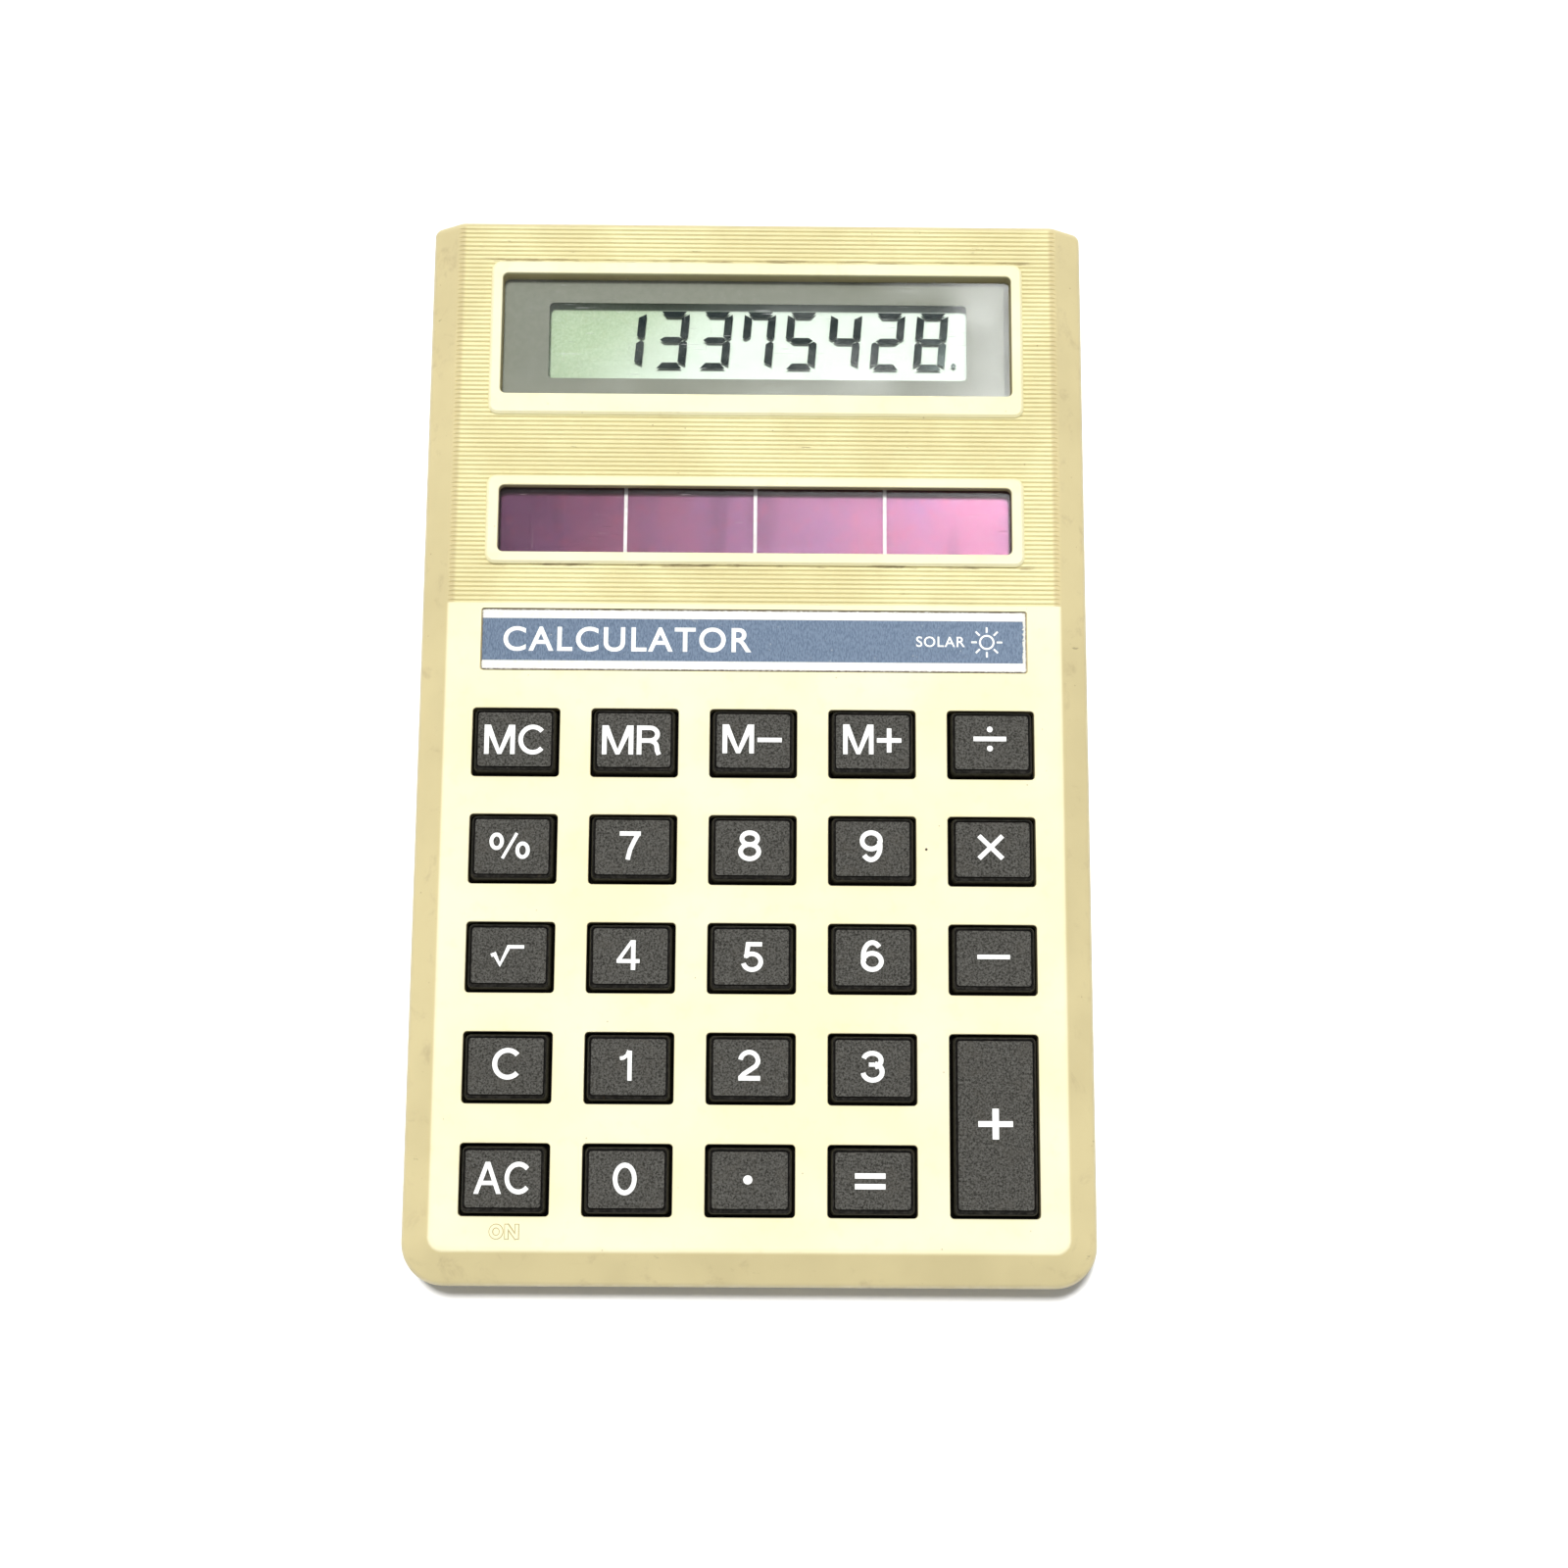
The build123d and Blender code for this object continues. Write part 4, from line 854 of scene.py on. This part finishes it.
stem = LETTER_STROKE / 2 + CREEP
for stem_x in (LETTER_STEP - round_x, LETTER_STEP + round_x):
    on_faces += [[
        (stem_x - stem, -LETTER_HIGH / 2 - CREEP), (stem_x + stem, -LETTER_HIGH / 2 - CREEP),
        (stem_x + stem, LETTER_HIGH / 2 + CREEP), (stem_x - stem, LETTER_HIGH / 2 + CREEP),
    ]]
diagonal = [(LETTER_STEP - round_x, LETTER_HIGH / 2), (LETTER_STEP + round_x, -LETTER_HIGH / 2)]
on_faces += ribbon(diagonal, 2 * stem)
# The outline is part grime and part painted shade along the letters' edges.
foot_grime_and_shade = print_paint("foot_grime_and_shade", (0.42, 0.35, 0.17), (0.58, 0.50, 0.29), 0.45)
flat_mesh("on_grime_and_shade", on_faces, (PANEL_HIGH + OUTLINE_LIFT) * MM, foot_grime_and_shade, "case", at=on_at)


# ============================================================ nameplate
LINE_WIDE = 1.0         # width of the white lines above and below the band, mm


def nameplate_paint(name):
    """Printed foil: a grey-blue band between white lines, rubbed at its right end."""
    p = Paint(name)
    low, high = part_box("nameplate")
    left, right = low.x / MM, high.x / MM
    bottom, top = low.y / MM, high.y / MM
    hatch = p.noise(5.0, 3, 0.65, p.stretched(1.6, 0.5, 1))
    blue = p.mix(p.step(hatch, 0.3, 0.7), (0.105, 0.150, 0.225), (0.20, 0.265, 0.36))
    white = p.mix(p.step(p.noise(2.0, 4, 0.6), 0.35, 0.7), (0.92, 0.91, 0.86), (0.84, 0.82, 0.74))
    inner = p.band(p.y, bottom + LINE_WIDE, top - LINE_WIDE, 0.03)
    rub = p.noise(2.5, 4, 0.7)
    wobble = p.math("ADD", p.x, p.step(rub, 0.3, 0.7, -0.12, 0.12))
    sliver = p.step(wobble, right - 0.38, right - 0.30)
    color = p.mix(inner, white, blue)
    color = p.mix(p.times(sliver, 0.9), color, (0.85, 0.82, 0.72))
    # A thin dark line of dirt around the edge.
    clean_x = p.band(p.x, left + 0.10, right - 0.10, 0.04)
    clean_y = p.band(p.y, bottom + 0.12, top - 0.12, 0.05)
    outline = p.flip(p.times(clean_x, clean_y))
    color = p.mix(p.times(outline, p.step(rub, 0.3, 0.6, 0.35, 0.95)), color, (0.13, 0.10, 0.06))
    chips = p.times(p.step(p.noise(1.6, 5, 0.75), 0.66, 0.70), 0.6)
    color = p.mix(chips, color, (0.62, 0.62, 0.58))
    return p.finish(color=color, metal=0.25, rough=p.step(hatch, 0.3, 0.7, 0.36, 0.5),
                    normal=p.bump(hatch, 0.008 * MM, 0.5), specular=0.5)


dress("nameplate", nameplate_paint("nameplate_foil"))
plate_low, plate_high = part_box("nameplate")
PLATE_Y = (plate_low.y + plate_high.y) / 2 / MM
PRINT_LIFT = 0.006 * MM
WHITE_INK = print_paint("white_ink", (0.93, 0.93, 0.90), (0.40, 0.45, 0.52), 0.35)


def printed_word(name, text, height, left, bottom, spacing, weight):
    """A plain word in the built-in typeface, as a flat mesh on the nameplate. Sizes in millimetres."""
    curve = bpy.data.curves.new(name, "FONT")
    curve.body = text
    curve.size = 1.0
    curve.space_character = spacing
    curve.offset = weight
    holder = bpy.data.objects.new(name + "_curve", curve)
    bpy.context.scene.collection.objects.link(holder)
    bpy.context.view_layer.update()
    mesh = bpy.data.meshes.new_from_object(holder.evaluated_get(bpy.context.evaluated_depsgraph_get()))
    bpy.data.objects.remove(holder)
    xs = [v.co.x for v in mesh.vertices]
    ys = [v.co.y for v in mesh.vertices]
    scale = height * MM / (max(ys) - min(ys))
    shift = Vector((left * MM - min(xs) * scale, bottom * MM - min(ys) * scale, plate_high.z + PRINT_LIFT))
    mesh.transform(Matrix.Translation(shift) @ Matrix.Diagonal((scale, scale, 1, 1)))
    mesh.materials.clear()
    mesh.materials.append(WHITE_INK)
    item = bpy.data.objects.new(name, mesh)
    bpy.context.scene.collection.objects.link(item)
    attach(item, "case")


printed_word("print_calculator", "CALCULATOR",
             height=2.7, left=-26.6, bottom=PLATE_Y - 1.3, spacing=1.14, weight=0.014)
printed_word("print_solar", "SOLAR",
             height=1.15, left=17.2, bottom=PLATE_Y - 0.55, spacing=1.1, weight=0.008)

# A small sun beside the word. Sizes in millimetres.
SUN_AT = (24.7, PLATE_Y)
SUN_RADIUS = 0.72
SUN_STROKE = 0.2
RAY_FROM, RAY_TO = 1.05, 1.65
RAYS = 8
sun_faces = ribbon(arc(0, 0, SUN_RADIUS, SUN_RADIUS, 0, 350, 30), SUN_STROKE, closed=True)
for ray in range(RAYS):
    angle = math.radians(360 / RAYS * ray)
    ends = [(reach * math.cos(angle), reach * math.sin(angle)) for reach in (RAY_FROM, RAY_TO)]
    sun_faces += ribbon(ends, SUN_STROKE)
flat_mesh("print_sun", sun_faces, plate_high.z + PRINT_LIFT, WHITE_INK, "case", at=SUN_AT)

# ============================================================ inside
dress("connector_strip", plain_paint("connector_rubber", (0.10, 0.10, 0.11), (0.05, 0.05, 0.06)))
RUBBER = plain_paint("keypad_silicone", (0.42, 0.42, 0.40), (0.34, 0.34, 0.32), (0.6, 0.75))
CARBON = plain_paint("carbon_rubber", (0.03, 0.03, 0.03), (0.018, 0.018, 0.018), (0.55, 0.7))
dress("contact_pads", plain_paint("carbon_print", (0.045, 0.045, 0.05), (0.03, 0.03, 0.03), (0.5, 0.65)))


def board_paint(name):
    """Brown laminate with copper tracks under green lacquer."""
    p = Paint(name)
    weave = p.noise(3.0, 3, 0.6)
    laminate = p.mix(p.step(weave, 0.3, 0.7), (0.30, 0.20, 0.07), (0.38, 0.27, 0.11))
    lanes = p.add(
        "ShaderNodeTexBrick",
        {"Vector": p.place, "Scale": 0.55, "Mortar Size": 0.06, "Mortar Smooth": 0.2,
         "Color1": (0, 0, 0), "Color2": (0, 0, 0), "Mortar": (1, 1, 1)},
    )
    track = p.add("ShaderNodeSeparateColor", {0: lanes.outputs[0]}).outputs[0]
    color = p.mix(p.times(track, 0.8), laminate, (0.16, 0.28, 0.10))
    return p.finish(color=color, rough=p.step(weave, 0.3, 0.7, 0.35, 0.5),
                    normal=p.bump(track, 0.03 * MM, 0.6))


dress("main_board", board_paint("board_laminate"))
dress("main_chip", plain_paint("chip_resin", (0.030, 0.030, 0.032), (0.020, 0.020, 0.022), (0.5, 0.65)))
LEAD = plain_paint("lead_metal", (0.72, 0.72, 0.70), (0.60, 0.60, 0.58), (0.25, 0.4), metal=1.0)
dress("chip_leads", LEAD)
dress("capacitor_leads", LEAD)
dress("electrolytic_capacitor",
      plain_paint("capacitor_sleeve", (0.03, 0.06, 0.22), (0.02, 0.04, 0.16), (0.25, 0.4)))
dress("ceramic_capacitors", plain_paint("capacitor_ceramic", (0.50, 0.36, 0.22), (0.42, 0.30, 0.18)))
dress("resistors", plain_paint("resistor_body", (0.06, 0.06, 0.07), (0.04, 0.04, 0.045)))
dress("limiter_diode", plain_paint("diode_glass", (0.55, 0.25, 0.12), (0.45, 0.18, 0.08), (0.1, 0.2)))
dress("solar_wire_red", plain_paint("wire_red", (0.45, 0.02, 0.02), (0.35, 0.015, 0.015), (0.35, 0.5)))
dress("solar_wire_black", plain_paint("wire_black", (0.02, 0.02, 0.02), (0.014, 0.014, 0.014), (0.35, 0.5)))
dress("solder_joints", plain_paint("solder", (0.62, 0.63, 0.64), (0.50, 0.51, 0.52), (0.3, 0.45), metal=1.0))
SCREW = plain_paint("screw_steel", (0.56, 0.55, 0.52), (0.40, 0.38, 0.34), (0.3, 0.5), metal=1.0, scale=1.2)
dress("board_screws", SCREW)
dress("case_screws", SCREW)

WELD = 0.0005 * MM      # corners closer than this are joined


def split_faces(node_name, piece_name, wanted, material):
    """A copy of some of a CAD node's faces as a piece of its own."""
    source = NODES[node_name].data
    copy = bmesh.new()
    copy.from_mesh(source)
    bmesh.ops.remove_doubles(copy, verts=copy.verts, dist=WELD)
    spare = [face for face in copy.faces if not wanted(face.calc_center_median())]
    bmesh.ops.delete(copy, geom=spare, context="FACES")
    piece = bpy.data.meshes.new(piece_name)
    copy.to_mesh(piece)
    copy.free()
    piece.materials.clear()
    piece.materials.append(material)
    item = bpy.data.objects.new(piece_name, piece)
    bpy.context.scene.collection.objects.link(item)
    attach(item, "case")
    return item


# The rubber sheet is split into a web and a dome under each key, each dome with its own pill.
sheet_low, sheet_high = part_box("keypad_rubber")
SHEET_THICK = 0.5 * MM
DOME_REACH = 3.62 * MM     # outer radius of a dome's foot
HOLLOW_REACH = 3.22 * MM   # and of the hollow under it
HAIR = 0.01 * MM           # a face this close to the sheet's own planes belongs to the sheet
dome_centres = {}
for key in KEYS:
    low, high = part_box(key)
    dome_centres[key] = Vector(((low.x + high.x) / 2, (low.y + high.y) / 2, 0))


def near_dome(point, middle):
    """Within a dome's reach, as its pill is."""
    return math.hypot(point.x - middle.x, point.y - middle.y) < DOME_REACH


def in_dome(point, middle):
    """On the outside of the dome above the sheet, or in its hollow."""
    across = math.hypot(point.x - middle.x, point.y - middle.y)
    above = point.z > sheet_low.z + SHEET_THICK + HAIR
    hollow = across < HOLLOW_REACH and point.z > sheet_low.z + HAIR
    return across < DOME_REACH and (above or hollow)


web = split_faces("keypad_rubber", "keypad_web",
                  lambda point: not any(in_dome(point, middle) for middle in dome_centres.values()),
                  RUBBER)
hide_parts("keypad_rubber")
for key, middle in dome_centres.items():
    dome = split_faces("keypad_rubber", "dome_" + key[4:],
                       lambda point: in_dome(point, middle), RUBBER)
    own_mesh(dome)
    pill = split_faces("contact_pills", "pill_" + key[4:],
                       lambda point: near_dome(point, middle), CARBON)
    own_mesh(pill)
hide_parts("contact_pills")

# ============================================================ studio
# Pale, even surroundings that light the object dimly and look white to the camera.
scene = bpy.context.scene
scene.view_settings.view_transform = "Standard"
world = bpy.data.worlds.new("studio_world")
scene.world = world
world.use_nodes = True
sky = world.node_tree
ambient = sky.nodes["Background"]
ambient.inputs["Color"].default_value = (0.93, 0.96, 1.0, 1)
ambient.inputs["Strength"].default_value = 0.30
backdrop = sky.nodes.new("ShaderNodeBackground")
backdrop.inputs["Color"].default_value = (1, 1, 1, 1)
seen = sky.nodes.new("ShaderNodeLightPath")
choose = sky.nodes.new("ShaderNodeMixShader")
sky.links.new(seen.outputs["Is Camera Ray"], choose.inputs[0])
sky.links.new(ambient.outputs[0], choose.inputs[1])
sky.links.new(backdrop.outputs[0], choose.inputs[2])
sky.links.new(choose.outputs[0], sky.nodes["World Output"].inputs[0])


def stage_plane(name, size_x, size_y, location, material):
    """A level rectangle that belongs to the studio."""
    half_x, half_y = size_x / 2, size_y / 2
    corners = [(-half_x, -half_y, 0), (half_x, -half_y, 0), (half_x, half_y, 0), (-half_x, half_y, 0)]
    mesh = bpy.data.meshes.new(name)
    mesh.from_pydata(corners, [], [(0, 1, 2, 3)])
    mesh.materials.append(material)
    item = bpy.data.objects.new(name, mesh)
    scene.collection.objects.link(item)
    item.location = location
    return item


def floor_paint():
    """White table, matte."""
    p = Paint("floor")
    tone = p.noise(0.02, 2, 0.5)
    white = p.mix(p.step(tone, 0.3, 0.7), (0.90, 0.90, 0.90), (0.93, 0.93, 0.93))
    return p.shade(p.add("ShaderNodeBsdfDiffuse", {"Color": white}).outputs[0])


FLOOR_SIZE = 6
FLOOR_GAP = 0.02 * MM      # keeps the floor off the underside's own plane
stage_plane("floor", FLOOR_SIZE, FLOOR_SIZE, (0, 0, -FLOOR_GAP), floor_paint())


def card_paint():
    """Light overhead, dim on the left and bright on the right, broken up like clouds in a window."""
    p = Paint("overhead_clouds")
    cloud = p.noise(0.010, 3, 0.55)
    drift = p.step(cloud, 0.3, 0.7, -30, 30)
    along = p.math("ADD", p.x, drift)
    depth = p.math("ADD", p.y, p.times(drift, 0.35))
    near = p.step(along, -170, 120, 0.40, 3.2)
    far = p.step(along, 78, 118, 0.2, 9.0)
    front_strip = p.times(p.step(along, -120, 90, 2.0, 8.0), p.band(depth, -8, 3, 6))
    back_strip = p.times(p.step(along, 30, 90, 0.0, 5.0), p.step(depth, 45, 60))
    puff = p.step(p.noise(0.03, 4, 0.6), 0.42, 0.66, 0.6, 1.8)
    light = p.times(p.most(p.most(far, front_strip), back_strip), puff)
    light = p.math("ADD", p.times(light, p.step(depth, -40, -25)), p.times(near, p.step(depth, -25, -40)))
    return p.shade(p.add("ShaderNodeEmission", {"Color": (0.98, 1.0, 1.0), "Strength": light}).outputs[0])


CARD_WIDE, CARD_DEEP = 0.62, 0.36
CARD_AT = (0.0, 0.40, 1.0)
overhead_card = stage_plane("overhead_card", CARD_WIDE, CARD_DEEP, CARD_AT, card_paint())
overhead_card.visible_shadow = False       # so that it doesn't shade the object from the key light

# The key light comes from behind the object, high up and a little to the left.
SUN_FROM = Vector((-0.07, 0.21, 0.97))
sun_data = bpy.data.lights.new("key_light", "SUN")
sun_data.energy = 3.5
sun_data.angle = math.radians(9)
sun_data.color = (1.0, 0.995, 0.985)
sun = bpy.data.objects.new("key_light", sun_data)
scene.collection.objects.link(sun)
sun.rotation_euler = (-SUN_FROM).to_track_quat("-Z", "Y").to_euler()
sun.visible_glossy = False

# ============================================================ camera
# Fitted to the corners of the keys in the photograph, for a chosen focal length.
CAMERA_AT = Vector((0.0015, -0.054, 0.2605))
CAMERA_LOOK = Vector((0.0068, 0.1889, -0.982)).normalized()
CAMERA_UP = Vector((-0.0069, 0.982, 0.1889))
camera_data = bpy.data.cameras.new("camera")
camera_data.sensor_width = 36
camera_data.sensor_fit = "HORIZONTAL"
camera_data.lens = 56.25
camera_data.clip_start = 0.01
camera = bpy.data.objects.new("camera", camera_data)
scene.collection.objects.link(camera)
side = CAMERA_LOOK.cross(CAMERA_UP).normalized()
true_up = side.cross(CAMERA_LOOK)
turn = Matrix((side, true_up, -CAMERA_LOOK)).transposed()
camera.matrix_world = Matrix.Translation(CAMERA_AT) @ turn.to_4x4()
scene.camera = camera
